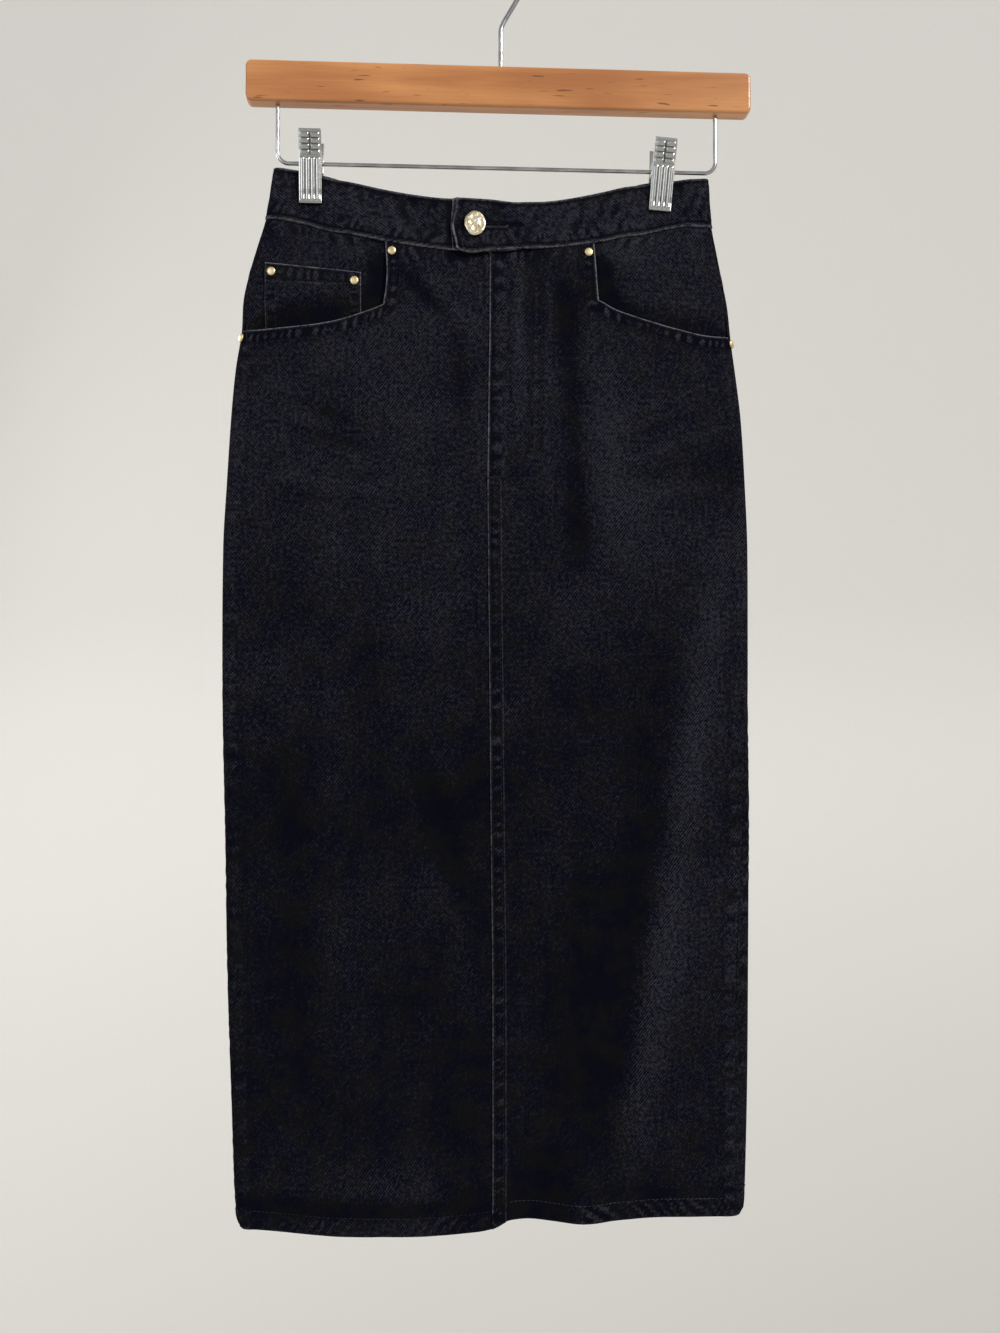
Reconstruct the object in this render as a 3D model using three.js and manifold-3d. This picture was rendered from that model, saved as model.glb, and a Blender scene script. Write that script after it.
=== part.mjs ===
// Knee-length denim skirt, clipped by its waistband to a wooden bar hanger.
//
// Millimetres, +Z up. X runs across the skirt and Y through it; the front faces -Y.
// Left and right are as seen from the front. The origin is the inside top of the hook,
// where a rail carries the hanger, so everything else hangs below it.
//
// The skirt is a flat tube of cloth. A point on it is found by its height and by its girth,
// the distance round the tube from the centre front seam to the centre back seam. Every
// piece of cloth is a wall over a grid of such points, moved out or in by its layer.

import * as THREE from 'three';
import { mergeVertices } from 'three/addons/utils/BufferGeometryUtils.js';
import Module from 'manifold-3d';

const wasm = await Module();
wasm.setup();

// Cloth
const DENIM = 1.3; // one layer
const GAP = 0.3; // between pieces that meet
const BAND_PROUD = 0.6; // waistband outside the panels
const BAND_DEEP = 2.1; // waistband inside them, where its second layer lies
const HEM_TURN = 14; // height of the turned hem
const HEM_THICK = 2.5;
const HEM_CORNER = 13; // rounding of the hem into each side fold
const FELL_WIDTH = 9.6; // overlapped and twice-stitched centre seams
const FELL_PROUD = 0.9;
const FLY_WIDTH = 31;
const FLY_PROUD = 0.5;
const FLY_BOTTOM = -391;
const BACK_RISE = 3; // how much less the back of the waist dips

// Waist closure
const TAB_END = -31.7; // x where the waistband's overlap ends
const UNDERLAP_END = 12; // x where the layer below it ends
const TAB_LIFT = 3.0;
const TAB_SETTLES = 42; // x where the overlap lies in line again
const BUTTON = { x: -18.9, z: -209.8, diameter: 17, shank: 4, thick: 2.6 };
const BUTTONHOLE = { eye: 4.8, slit: 1.2, end: 3 };
const ZIP = { from: -4, to: 30, chainFrom: 13, chainTo: 19, thick: 1.4, chain: 1.3, top: -231 };

// Pockets
const POCKET_TUCK = 12; // how far each facing reaches behind the front
const FACING_SINK = 3.0; // how far it stands back from the pocket's edge
const FACING_SEWN = 0.42; // share of that left where it is sewn in
const COIN = { near: 91.4, far: 160, nearZ: -245.0, farZ: -236.7, hem: 11, tuck: 6 };
const RIVET_DIAMETER = 6.2;

// Height of the seam below the back yoke, and how many of the side's rows lie above it.
const YOKE = { centre: -292, side: -246.4 };
const YOKE_ROWS = 3;

// Hanger
const BAR = { width: 367, height: 30, depth: 12, top: -89.5, corner: 4.5, edge: 2 };
const HOOK = { wire: 3.5, radius: 20, tip: 200 };
const ROD = { wire: 3, middle: -1.5, half: 159.5, z: -162.3, bend: 8 };
const SOCKET_DEPTH = 16; // of the wires in the bar
const CLIP = { width: 16.3, plate: 1.5, ear: 1.2, earRadius: 4.4, rib: 0.6 };
const SPRING = { wire: 1.1, coil: 3, half: 3.2, turns: 3.5, steps: 28, armY: 7.7, armZ: 14 };
const CLIPS = [
  { name: 'left', x: -137, lean: 0 },
  { name: 'right', x: 118.3, lean: THREE.MathUtils.degToRad(4.25) },
];
const PINCH = { depth: 2.35, flat: 10.5, outer: 22, inner: 30, full: -199, none: -242 };

const SIDES = [{ name: 'left', side: -1 }, { name: 'right', side: 1 }];

// Heights at which a line that runs round the skirt looks up where it is
const AT = { waistTop: -180, clips: -190, waistSeam: -212, yoke: -250, hips: -300, hem: -915 };

// Turns rows of numbers into objects with the named columns.
const table = (columns, ...rows) =>
  rows.map((row) => Object.fromEntries(columns.map((column, i) => [column, row[i]])));

// The skirt's sections: its left and right edges, the centre seams, the radius of the side
// folds, and how far the middle of the front and of the back stand out from them.
const SECTIONS = table(
  ['z', 'left', 'right', 'seam', 'fold', 'front', 'back'],
  [-168, -163.5, 152.5, -8.5, 3.5, 3.6, 2.6],
  [-203, -169.0, 155.0, -8.5, 3.9, 5.5, 4.0],
  [-220, -174.0, 158.2, -8.5, 4.2, 6.5, 4.6],
  [-240, -179.8, 162.1, -8.6, 4.6, 7.4, 5.2],
  [-262, -184.7, 166.4, -8.8, 4.9, 8.0, 5.6],
  [-286, -186.0, 168.9, -8.9, 5.0, 8.5, 6.0],
  [-312, -190.0, 172.2, -9.3, 5.0, 8.4, 6.0],
  [-345, -193.0, 176.0, -9.7, 5.0, 8.0, 6.0],
  [-395, -196.0, 178.9, -10.2, 5.0, 7.4, 6.0],
  [-440, -198.3, 180.5, -9.8, 5.0, 7.0, 5.8],
  [-550, -198.2, 180.3, -8.7, 5.0, 6.5, 5.4],
  [-650, -195.7, 180.7, -7.7, 4.8, 6.2, 5.0],
  [-740, -193.9, 179.6, -6.7, 4.6, 6.0, 4.8],
  [-830, -190.6, 178.4, -6.5, 4.5, 5.8, 4.6],
  [-905, -187.5, 176.3, -6.5, 4.4, 5.6, 4.6],
  [-930, -184.6, 174.8, -6.5, 4.4, 5.6, 4.6],
);

// How far each side seam lies inside the skirt's edge, seen from the front.
const SIDE_SEAMS = table(
  ['z', 'left', 'right'],
  [-204, 0.9, 1.3],
  [-290, 1.2, 3.0],
  [-335, 1.0, 1.5],
  [-500, 1.0, 1.0],
  [-570, 1.1, 3.5],
  [-640, 1.3, 6.0],
  [-764, 1.8, 10.0],
  [-905, 2.5, 8.0],
);

// Top edge of the waistband and the seam below it, along the front.
const WAIST = table(
  ['x', 'top', 'seam'],
  [-170, -166.4, -203.9],
  [-145, -168.4, -206.6],
  [-126, -172.9, -211.9],
  [-106, -178.1, -216.8],
  [-78, -184.4, -222.2],
  [-51, -187.9, -225.8],
  [-32, -189.0, -227.6],
  [-8, -190.4, -228.2],
  [12, -192.2, -226.8],
  [38, -189.0, -223.9],
  [74, -180.8, -217.8],
  [107, -172.5, -209.4],
  [129, -169.3, -204.4],
  [150, -167.6, -203.8],
);

// Bottom edge of the hem, before it rounds into the side folds.
const HEM = table(
  ['x', 'front', 'back'],
  [-175, -920.5, -918.5],
  [-141, -922.6, -920.0],
  [-60, -925.2, -921.0],
  [-25, -924.0, -920.8],
  [-7, -921.6, -920.4],
  [6.4, -916.2, -920.2],
  [35, -918.0, -919.8],
  [56, -919.8, -919.6],
  [87, -918.2, -919.4],
  [125, -917.8, -919.2],
  [164, -919.3, -918.8],
);

// Upright edge of each pocket opening: its distance out from the centre seam.
const POCKET_EDGE = table(
  ['z', 'left', 'right'],
  [-220, 74.8, 75.8],
  [-241, 73.4, 77.3],
  [-254, 73.8, 78.2],
  [-266, 75.4, 79.5],
);

// Lower edge of each pocket opening: its height at a distance out from the centre seam.
const POCKET_LINE = table(
  ['out', 'left', 'right'],
  [75, -267.0, -261.9],
  [80, -269.4, -262.1],
  [90, -273.2, -267.6],
  [105, -277.9, -272.6],
  [120, -281.0, -276.8],
  [135, -282.6, -280.3],
  [155, -284.2, -283.8],
  [175, -285.7, -285.0],
);

// Soft folds hanging in the cloth, each from one point down to another. Depth is positive
// for a ridge and negative for a trough; the ends fade out over the given length.
const FOLDS = table(
  ['face', 'x0', 'z0', 'x1', 'z1', 'width', 'depth', 'fade'],
  ['front', -70, -222, -30, -305, 7, -1.6, 26],
  ['front', -54, -222, -20, -300, 7, 0.8, 30],
  ['front', 46, -222, 52, -440, 9, -2.3, 60],
  ['front', 74, -270, 82, -470, 14, 1.0, 70],
  ['front', -140, -335, -90, -372, 9, -0.7, 16],
  ['front', -64, -570, -20, -720, 10, -1.9, 50],
  ['front', -44, -640, -16, -800, 12, 0.9, 60],
  ['front', 148, -470, 100, -890, 13, 2.4, 110],
  ['front', 112, -520, 74, -860, 18, -1.3, 110],
  ['front', -152, -540, -140, -900, 15, -1.0, 120],
  ['front', -95, -850, -95, -1000, 48, 3.0, 70],
  ['front', 24, -845, 21, -1000, 15, -2.8, 60],
  ['front', 62, -860, 60, -1000, 13, 1.8, 60],
  ['front', 108, -860, 112, -1000, 13, -1.2, 60],
  ['back', -118, -250, -96, -470, 13, -1.5, 80],
  ['back', -58, -520, -78, -900, 14, -2.0, 120],
  ['back', 66, -390, 92, -880, 16, 1.9, 130],
  ['back', 34, -690, 40, -1000, 12, -1.6, 90],
  ['back', 122, -800, 118, -1000, 20, 1.8, 90],
  ['back', -130, -830, -136, -1000, 20, 1.5, 80],
);

const { clamp, lerp, smoothstep } = THREE.MathUtils;

// A smooth curve through one column of a table, held level past its ends.
function curve(rows, key, column) {
  const points = rows.map((row) => [row[key], row[column]]).sort((a, b) => a[0] - b[0]);
  const last = points.length - 1;
  const slope = points.map((_, i) => {
    const [from, to] = [points[Math.max(i - 1, 0)], points[Math.min(i + 1, last)]];
    return (to[1] - from[1]) / (to[0] - from[0]);
  });
  return (at) => {
    const x = clamp(at, points[0][0], points[last][0]);
    const i = clamp(points.findIndex((point) => point[0] > x), 1, last) - 1;
    const k = points[last][0] > x ? i : last - 1;
    const width = points[k + 1][0] - points[k][0];
    const t = (x - points[k][0]) / width;
    return (2 * t ** 3 - 3 * t ** 2 + 1) * points[k][1] + (t ** 3 - 2 * t ** 2 + t) * width * slope[k]
      + (3 * t ** 2 - 2 * t ** 3) * points[k + 1][1] + (t ** 3 - t ** 2) * width * slope[k + 1];
  };
}

const leftEdge = curve(SECTIONS, 'z', 'left');
const rightEdge = curve(SECTIONS, 'z', 'right');
const seamX = curve(SECTIONS, 'z', 'seam');
const foldRadius = curve(SECTIONS, 'z', 'fold');
const swell = { front: curve(SECTIONS, 'z', 'front'), back: curve(SECTIONS, 'z', 'back') };
const waistTop = curve(WAIST, 'x', 'top');
const waistSeam = curve(WAIST, 'x', 'seam');
const hemLine = { front: curve(HEM, 'x', 'front'), back: curve(HEM, 'x', 'back') };
const sideInset = { left: curve(SIDE_SEAMS, 'z', 'left'), right: curve(SIDE_SEAMS, 'z', 'right') };
const pocketEdge = { left: curve(POCKET_EDGE, 'z', 'left'), right: curve(POCKET_EDGE, 'z', 'right') };
const pocketLine = { left: curve(POCKET_LINE, 'out', 'left'), right: curve(POCKET_LINE, 'out', 'right') };

// 1 at the middle of the skirt, falling smoothly to 0 where the side folds begin.
const crown = (share) => (1 - Math.min(Math.abs(share), 1) ** 4) ** 1.5;

const clipX = (clip, z) => clip.x + (z - ROD.z) * Math.tan(clip.lean);

// How fully the clips press the cloth flat at a point, from 0 to 1.
function pinch(x, z) {
  const down = smoothstep(z, PINCH.none, PINCH.full);
  return Math.max(...CLIPS.map((clip) => {
    const out = x - clipX(clip, z);
    const reach = out * clip.x > 0 ? PINCH.outer : PINCH.inner;
    return down * (1 - smoothstep(Math.abs(out), PINCH.flat, reach));
  }));
}

// How far the soft folds move the cloth out at a point of the front or back.
function softFolds(face, x, z) {
  return FOLDS.filter((fold) => fold.face === face).reduce((sum, fold) => {
    const share = (z - fold.z0) / (fold.z1 - fold.z0);
    const off = (x - lerp(fold.x0, fold.x1, share)) / fold.width;
    const ends = smoothstep(fold.z0 - z, 0, fold.fade) * smoothstep(z - fold.z1, 0, fold.fade);
    return sum + fold.depth * ends * Math.exp(-off * off);
  }, 0);
}

// The skirt's half width and where its side fold runs, at one height.
function half(side, z) {
  const width = side > 0 ? rightEdge(z) - seamX(z) : seamX(z) - leftEdge(z);
  const fold = foldRadius(z);
  const flat = width - fold;
  return { width, fold, flat, turn: Math.PI * fold, girth: 2 * flat + Math.PI * fold };
}

// Distance of the cloth from the mid plane of the skirt, on its front or back.
function standOff(face, side, reach, z) {
  const { fold, flat } = half(side, z);
  const x = seamX(z) + side * reach;
  const share = Math.min(Math.abs(reach / flat), 1);
  const free = fold + swell[face](z) * crown(share) + softFolds(face, x, z) * (1 - share ** 8);
  return lerp(free, PINCH.depth, pinch(x, z));
}

// A point of the cloth and its outward normal, seen from above.
function section(side, girth, z) {
  const { fold, flat, turn, girth: whole } = half(side, z);
  if (girth > flat && girth < flat + turn) {
    const angle = (girth - flat) / fold;
    const [sin, cos] = [Math.sin(angle), Math.cos(angle)];
    return { x: seamX(z) + side * (flat + fold * sin), y: -fold * cos, nx: side * sin, ny: -cos };
  }
  const face = girth <= flat ? 'front' : 'back';
  const out = face === 'front' ? -1 : 1;
  const reach = face === 'front' ? girth : whole - girth;
  const slope = standOff(face, side, reach + 0.5, z) - standOff(face, side, reach - 0.5, z);
  const length = Math.hypot(slope, 1);
  return {
    x: seamX(z) + side * reach,
    y: out * standOff(face, side, reach, z),
    nx: (-side * slope) / length,
    ny: out / length,
  };
}

// A point on the cloth, moved out by an offset.
function clothPoint(side, girth, z, offset) {
  const { x, y, nx, ny } = section(side, girth, z);
  return [x + nx * offset, y + ny * offset, z];
}

// Girth of the side seam.
function sideSeam({ name, side }, z) {
  const { fold, flat } = half(side, z);
  const inset = sideInset[name](z);
  return inset < fold ? flat + fold * Math.asin(1 - inset / fold) : flat + fold - inset;
}

// Heights of the waist lines and the hem at a girth of either side.
const onBack = (side, girth, z) => girth > half(side, z).flat + half(side, z).turn / 2;

function backRise(side, girth, z) {
  const { flat, girth: whole } = half(side, z);
  return onBack(side, girth, z) ? BACK_RISE * crown((whole - girth) / flat) : 0;
}

function topHeight(side, girth) {
  const z = AT.waistTop;
  return waistTop(section(side, girth, z).x) + backRise(side, girth, z);
}

function seamHeight(side, girth) {
  const z = AT.waistSeam;
  return waistSeam(section(side, girth, z).x) + backRise(side, girth, z);
}

function hemHeight(side, girth) {
  const z = AT.hem;
  const { x } = section(side, girth, z);
  const inside = Math.min(x - leftEdge(z), rightEdge(z) - x);
  const lift = HEM_CORNER * clamp(1 - inside / HEM_CORNER, 0, 1) ** 2.4;
  return hemLine[onBack(side, girth, z) ? 'back' : 'front'](x) + lift;
}

// Turns a closed geometry's faces outwards and drops all but its points.
function closed(geometry) {
  const bare = new THREE.BufferGeometry();
  bare.setAttribute('position', geometry.getAttribute('position'));
  bare.setIndex(geometry.getIndex());
  const merged = mergeVertices(bare, 1e-4);
  const [position, index] = [merged.getAttribute('position'), merged.getIndex()];
  const [a, b, c] = [new THREE.Vector3(), new THREE.Vector3(), new THREE.Vector3()];
  const kept = [];
  let volume = 0;
  for (let i = 0; i < index.count; i += 3) {
    const corner = [index.getX(i), index.getX(i + 1), index.getX(i + 2)];
    if (new Set(corner).size < 3) continue;
    kept.push(...corner);
    [a, b, c].forEach((vector, k) => vector.fromBufferAttribute(position, corner[k]));
    volume += a.dot(b.cross(c));
  }
  merged.setIndex(volume < 0 ? kept.reverse() : kept);
  merged.computeVertexNormals();
  return merged;
}

// A closed wall over a grid of cells. place gives a point of its outer layer, 0, or its
// inner layer, 1; present says which cells there are.
function wall(columns, rows, place, present = () => true) {
  const points = [];
  const faces = [];
  const numbers = new Map();
  const there = (i, j) => i >= 0 && j >= 0 && i < columns && j < rows && present(i, j);
  const corner = (i, j, layer) => {
    const key = (j * (columns + 1) + i) * 2 + layer;
    if (!numbers.has(key)) {
      numbers.set(key, points.length / 3);
      points.push(...place(i, j, layer));
    }
    return numbers.get(key);
  };
  const quad = (a, b, c, d) => faces.push(a, b, c, a, c, d);
  for (let i = 0; i < columns; i += 1) {
    for (let j = 0; j < rows; j += 1) {
      if (!there(i, j)) continue;
      const ring = [[i, j], [i + 1, j], [i + 1, j + 1], [i, j + 1]];
      quad(...ring.map(([p, q]) => corner(p, q, 0)));
      quad(...ring.map(([p, q]) => corner(p, q, 1)).reverse());
      const beyond = [[i, j - 1], [i + 1, j], [i, j + 1], [i - 1, j]];
      beyond.forEach(([p, q], k) => {
        if (there(p, q)) return;
        const [from, to] = [ring[k], ring[(k + 1) % 4]];
        quad(corner(...to, 0), corner(...from, 0), corner(...from, 1), corner(...to, 1));
      });
    }
  }
  const geometry = new THREE.BufferGeometry();
  geometry.setAttribute('position', new THREE.Float32BufferAttribute(points, 3));
  geometry.setIndex(faces);
  return closed(geometry);
}

// A piece of cloth. columns are functions of height that give a girth, rows are functions
// of girth that give a height, and layer gives the offset of each face.
function clothPiece(side, columns, rows, layer, present) {
  const middle = (row) => row(columns[Math.floor(columns.length / 2)](AT.hips));
  return wall(columns.length - 1, rows.length - 1, (i, j, face) => {
    const nearly = rows[j](columns[i](middle(rows[j])));
    const z = rows[j](columns[i](nearly));
    const girth = columns[i](z);
    return clothPoint(side, girth, z, layer(girth, z, face, i, j));
  }, present);
}

const level = (z) => () => z;
const between = (low, high, share) => (at) => lerp(low(at), high(at), share);
const lowered = (line, by) => (at) => line(at) - by;

// Raised edge of the overlapping front: the felled seam, and the fly with its facing.
function overlapProud(girth, z) {
  const fly = smoothstep(z, FLY_BOTTOM - 6, FLY_BOTTOM + 6);
  const fell = 1 - smoothstep(girth, FELL_WIDTH - 0.4, FELL_WIDTH + 0.4);
  const facing = 1 - smoothstep(girth, FLY_WIDTH - 1, FLY_WIDTH + 3);
  return FELL_PROUD * fell + FLY_PROUD * fly * facing * (1 - fell);
}

const inHem = (side, girth, z) => z < hemHeight(side, girth) + HEM_TURN + 0.5;

const innerOffset = (side, girth, z) => -(inHem(side, girth, z) ? HEM_THICK : DENIM);

// Heights that the front and the back share, so that their side edges run alike.
const LEVELS = [
  AT.hips, -320, -342, -366, FLY_BOTTOM, -425, -465, -510, -560, -610, -660, -710, -760, -810, -850, -882,
];

// A front panel, cut away for the pocket at its upper outer corner.
function frontPanel(half_) {
  const { name, side } = half_;
  const edge = pocketEdge[name];
  const line = pocketLine[name];
  const cornerZ = line(0);
  const overlap = [FELL_WIDTH - 0.5, FELL_WIDTH + 0.5, 20, FLY_WIDTH - 1, FLY_WIDTH + 3];
  const near = [GAP / 2, ...overlap, 44, 54, 65].map(level);
  const far = [0.1, 0.21, 0.32, 0.43, 0.54, 0.65, 0.75, 0.84, 0.91, 0.955, 0.98, 1];
  const columns = [
    ...near,
    edge,
    ...far.map((share) => (z) => lerp(edge(z), sideSeam(half_, z), share)),
  ];
  const top = lowered((girth) => seamHeight(side, girth), GAP / 2);
  const hem = (girth) => hemHeight(side, girth);
  const pocket = (girth) => line(girth);
  const rows = [
    top,
    between(top, level(cornerZ), 1 / 3),
    between(top, level(cornerZ), 2 / 3),
    pocket,
    ...LEVELS.map(level),
    lowered(hem, -HEM_TURN),
    hem,
  ];
  const layer = (girth, z, face) => {
    if (face === 1) return innerOffset(side, girth, z);
    return side > 0 ? overlapProud(girth, z) : 0;
  };
  const present = (i, j) => i < near.length || j >= 3;
  return clothPiece(side, columns, rows, layer, present);
}

// How far a pocket facing lies inside the cloth's line.
function facingOffset(half_, girth, z) {
  const { name, side } = half_;
  const beside = 1 - smoothstep(girth - pocketEdge[name](z), 0, 24);
  const above = 1 - smoothstep(z - pocketLine[name](girth), 0, 22);
  const gape = 1 - (1 - beside) * (1 - above);
  const below = smoothstep(seamHeight(side, girth) - z, 0, 26);
  const inward = smoothstep(sideSeam(half_, z) - girth, 0, 13);
  return -0.4 - FACING_SINK * gape * lerp(FACING_SEWN, 1, below) * lerp(FACING_SEWN, 1, inward);
}

// The grid that each facing and the coin pocket on it share.
function facingGrid(half_) {
  const { name, side } = half_;
  const edge = pocketEdge[name];
  const seam = (z) => sideSeam(half_, z);
  const columns = [
    (z) => edge(z) - POCKET_TUCK,
    edge,
    (z) => edge(z) + 8,
    level(COIN.near),
    ...[0.12, 0.24, 0.36, 0.48, 0.6, 0.72, 0.84].map((share) => level(lerp(COIN.near, COIN.far, share))),
    level(COIN.far),
    (z) => lerp(COIN.far, seam(z), 0.45),
    (z) => lerp(COIN.far, seam(z), 0.75),
    seam,
  ];
  const slope = (COIN.farZ - COIN.nearZ) / (COIN.far - COIN.near);
  const top = lowered((girth) => seamHeight(side, girth), GAP / 2);
  const coinTop = (girth) => COIN.nearZ + slope * (girth - COIN.near);
  const line = (girth) => pocketLine[name](girth);
  const rows = [
    top,
    between(top, coinTop, 0.5),
    coinTop,
    lowered(coinTop, COIN.hem),
    between(lowered(coinTop, COIN.hem), line, 0.5),
    line,
    lowered(line, COIN.tuck),
    lowered(line, POCKET_TUCK),
  ];
  return { columns, rows };
}

function pocketFacing(half_) {
  const { columns, rows } = facingGrid(half_);
  const layer = (girth, z, face) => facingOffset(half_, girth, z) - face * DENIM;
  return clothPiece(half_.side, columns, rows, layer);
}

function coinPocket(half_) {
  const { columns, rows } = facingGrid(half_);
  const layer = (girth, z, face, i, j) => {
    const hem = j < 2 ? 0.5 : 0;
    return facingOffset(half_, girth, z) + GAP + (1 - face) * (DENIM - 0.1 + hem);
  };
  return clothPiece(half_.side, columns.slice(3, -3), rows.slice(2, -1), layer);
}

// Girth of the centre back seam, and the line of the seam below the yoke.
const centreBack = (side) => (z) => half(side, z).girth - GAP / 2;

function yokeLine(side, girth) {
  const { flat, girth: whole } = half(side, AT.yoke);
  const share = clamp((whole - girth) / flat, 0, 1);
  return lerp(YOKE.centre, YOKE.side, share);
}

// Where the back starts beside the side seam, and where the side fold ends.
const backStart = (half_) => (z) => sideSeam(half_, z) + GAP;
const foldEnd = (side) => (z) => half(side, z).flat + half(side, z).turn;

// Columns of the back, from beside the side seam round the fold to the centre back.
function backColumns(half_) {
  const { side } = half_;
  const start = backStart(half_);
  const round = [0.25, 0.5, 0.75, 1];
  const across = [0.04, 0.12, 0.22, 0.34, 0.46, 0.58, 0.7, 0.82];
  return [
    start,
    ...round.map((share) => between(start, foldEnd(side), share)),
    ...across.map((share) => between(foldEnd(side), centreBack(side), share)),
    (z) => centreBack(side)(z) - FELL_WIDTH - 0.5,
    (z) => centreBack(side)(z) - FELL_WIDTH + 0.5,
    centreBack(side),
  ];
}

// The back's centre seam is felled the other way, so its raised edge is on the left.
function backProud(side, girth, z) {
  const inside = centreBack(side)(z) - girth;
  return side < 0 ? FELL_PROUD * (1 - smoothstep(inside, FELL_WIDTH - 0.4, FELL_WIDTH + 0.4)) : 0;
}

function backPiece(half_, rows) {
  const { side } = half_;
  const layer = (girth, z, face) => (face === 1 ? innerOffset(side, girth, z) : backProud(side, girth, z));
  return clothPiece(side, backColumns(half_), rows, layer);
}

// Heights of a facing's rows at the side seam, which the back's rows meet there.
function sideHeights(half_) {
  const girth = sideSeam(half_, AT.yoke);
  return facingGrid(half_).rows.map((row) => row(girth));
}

function backYoke(half_) {
  const { side } = half_;
  const top = lowered((girth) => seamHeight(side, girth), GAP / 2);
  const bottom = (girth) => yokeLine(side, girth) + GAP / 2;
  const heights = sideHeights(half_).slice(0, YOKE_ROWS + 1);
  const share = (z) => (heights[0] - z) / (heights[0] - heights[YOKE_ROWS]);
  return backPiece(half_, heights.map((z) => between(top, bottom, share(z))));
}

function backPanel(half_) {
  const { side } = half_;
  const top = (girth) => yokeLine(side, girth) - GAP / 2;
  const hem = (girth) => hemHeight(side, girth);
  const heights = sideHeights(half_).slice(YOKE_ROWS, YOKE_ROWS + 3);
  const share = (z) => (heights[0] - z) / (heights[0] - LEVELS[0]);
  const rows = [
    ...heights.map((z) => between(top, level(LEVELS[0]), share(z))),
    ...LEVELS.map(level),
    lowered(hem, -HEM_TURN),
    hem,
  ];
  return backPiece(half_, rows);
}

// Columns of a waistband about its clip, so that the pressed cloth is flat under the jaws.
function clipColumns(half_) {
  const clip = CLIPS.find(({ name }) => name === half_.name);
  const middle = (z) => Math.abs(clipX(clip, z) - seamX(z));
  const steps = [-PINCH.inner, -23, -16.5, -PINCH.flat, 0, PINCH.flat, 16.5, PINCH.outer];
  return steps.map((step) => (z) => middle(z) + step);
}

const bandRows = (side) => {
  const top = (girth) => topHeight(side, girth);
  const seam = (girth) => seamHeight(side, girth) + GAP / 2;
  return [0, 0.25, 0.5, 0.75, 1].map((share) => between(top, seam, share));
};

const atX = (side, x) => (z) => side * (x - seamX(z));

function frontBandColumns(half_, ends) {
  const toSeam = (z) => sideSeam(half_, z);
  const clips = clipColumns(half_);
  const inner = [34, 50, 66, 82].map(level);
  const outer = [0.5, 1].map((share) => between(clips.at(-1), toSeam, share));
  return [...ends, ...inner, ...clips, ...outer];
}

const bandLayer = (lift) => (girth, z, face) => (face === 1 ? -BAND_DEEP : BAND_PROUD) + lift(girth, z);

// The waistband's left front, whose end lies under the tab and carries the button.
function underlapBand() {
  const ends = [UNDERLAP_END, 2, -9, -20, -31].map((x) => atX(-1, x));
  return clothPiece(-1, frontBandColumns(SIDES[0], ends), bandRows(-1), bandLayer(() => 0));
}

// The waistband's right front, which overlaps it and has the buttonhole.
function tabBand() {
  const ends = [TAB_END, -25, -18.9, -12, 2, UNDERLAP_END + 1.5, 19].map((x) => atX(1, x));
  const lift = (girth, z) => {
    const x = seamX(z) + girth;
    return TAB_LIFT * (1 - smoothstep(x, UNDERLAP_END + 1.5, TAB_SETTLES));
  };
  return cut(clothPiece(1, frontBandColumns(SIDES[1], ends), bandRows(1), bandLayer(lift)), buttonhole());
}

function backBand() {
  const parts = SIDES.map((half_) => {
    const { side } = half_;
    const start = backStart(half_);
    const fromCentre = (reach) => (z) => half(side, z).girth - reach(z);
    const round = [0.2, 0.4, 0.6, 0.8, 1].map((share) => between(start, foldEnd(side), share));
    const clips = clipColumns(half_).map(fromCentre).reverse();
    const inner = [82, 62, 42, 20, 0].map((reach) => fromCentre(level(reach)));
    return { columns: [start, ...round, ...clips, ...inner] };
  });
  const [left, right] = parts;
  const columns = [
    ...left.columns.map((column) => ({ side: -1, column })),
    ...right.columns.slice(0, -1).reverse().map((column) => ({ side: 1, column })),
  ];
  return wall(columns.length - 1, 4, (i, j, face) => {
    const { side, column } = columns[i];
    const row = bandRows(side)[j];
    const z = row(column(row(column(AT.clips))));
    return clothPoint(side, column(z), z, face === 1 ? -BAND_DEEP : BAND_PROUD);
  });
}

// The zip behind the fly: its tape, with the closed chain down the middle.
function flyZip() {
  const steps = [ZIP.chainFrom, ZIP.chainTo].flatMap((edge) => [edge - 0.5, edge + 0.5]);
  const columns = [ZIP.from, 5, ...steps, ZIP.to];
  const rows = [ZIP.top, -250, -280, -310, -340, -365, FLY_BOTTOM + 4];
  const layer = (girth, z, face) => {
    const chain = girth > ZIP.chainFrom && girth < ZIP.chainTo ? ZIP.chain : 0;
    return -DENIM - GAP - 0.1 - face * (ZIP.thick + chain);
  };
  return clothPiece(1, columns.map(level), rows.map(level), layer);
}

const roundShape = (radius, sides) => {
  const corners = Array.from({ length: sides }, (_, k) => (2 * Math.PI * k) / sides);
  return new THREE.Shape(corners.map((angle) =>
    new THREE.Vector2(radius * Math.cos(angle), radius * Math.sin(angle))));
};

// Between a geometry and the solid that cuts and joins need.
function toSolid(geometry) {
  const merged = closed(geometry);
  const vertProperties = new Float32Array(merged.getAttribute('position').array);
  const triVerts = new Uint32Array(merged.getIndex().array);
  return new wasm.Manifold(new wasm.Mesh({ numProp: 3, vertProperties, triVerts }));
}

function fromSolid(solid) {
  const mesh = solid.getMesh();
  const geometry = new THREE.BufferGeometry();
  geometry.setAttribute('position', new THREE.Float32BufferAttribute(mesh.vertProperties, 3));
  geometry.setIndex(Array.from(mesh.triVerts));
  return closed(geometry);
}

const cut = (geometry, ...tools) =>
  fromSolid(tools.reduce((solid, tool) => solid.subtract(toSolid(tool)), toSolid(geometry)));

const join = (geometry, ...more) =>
  fromSolid(more.reduce((solid, piece) => solid.add(toSolid(piece)), toSolid(geometry)));

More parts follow.
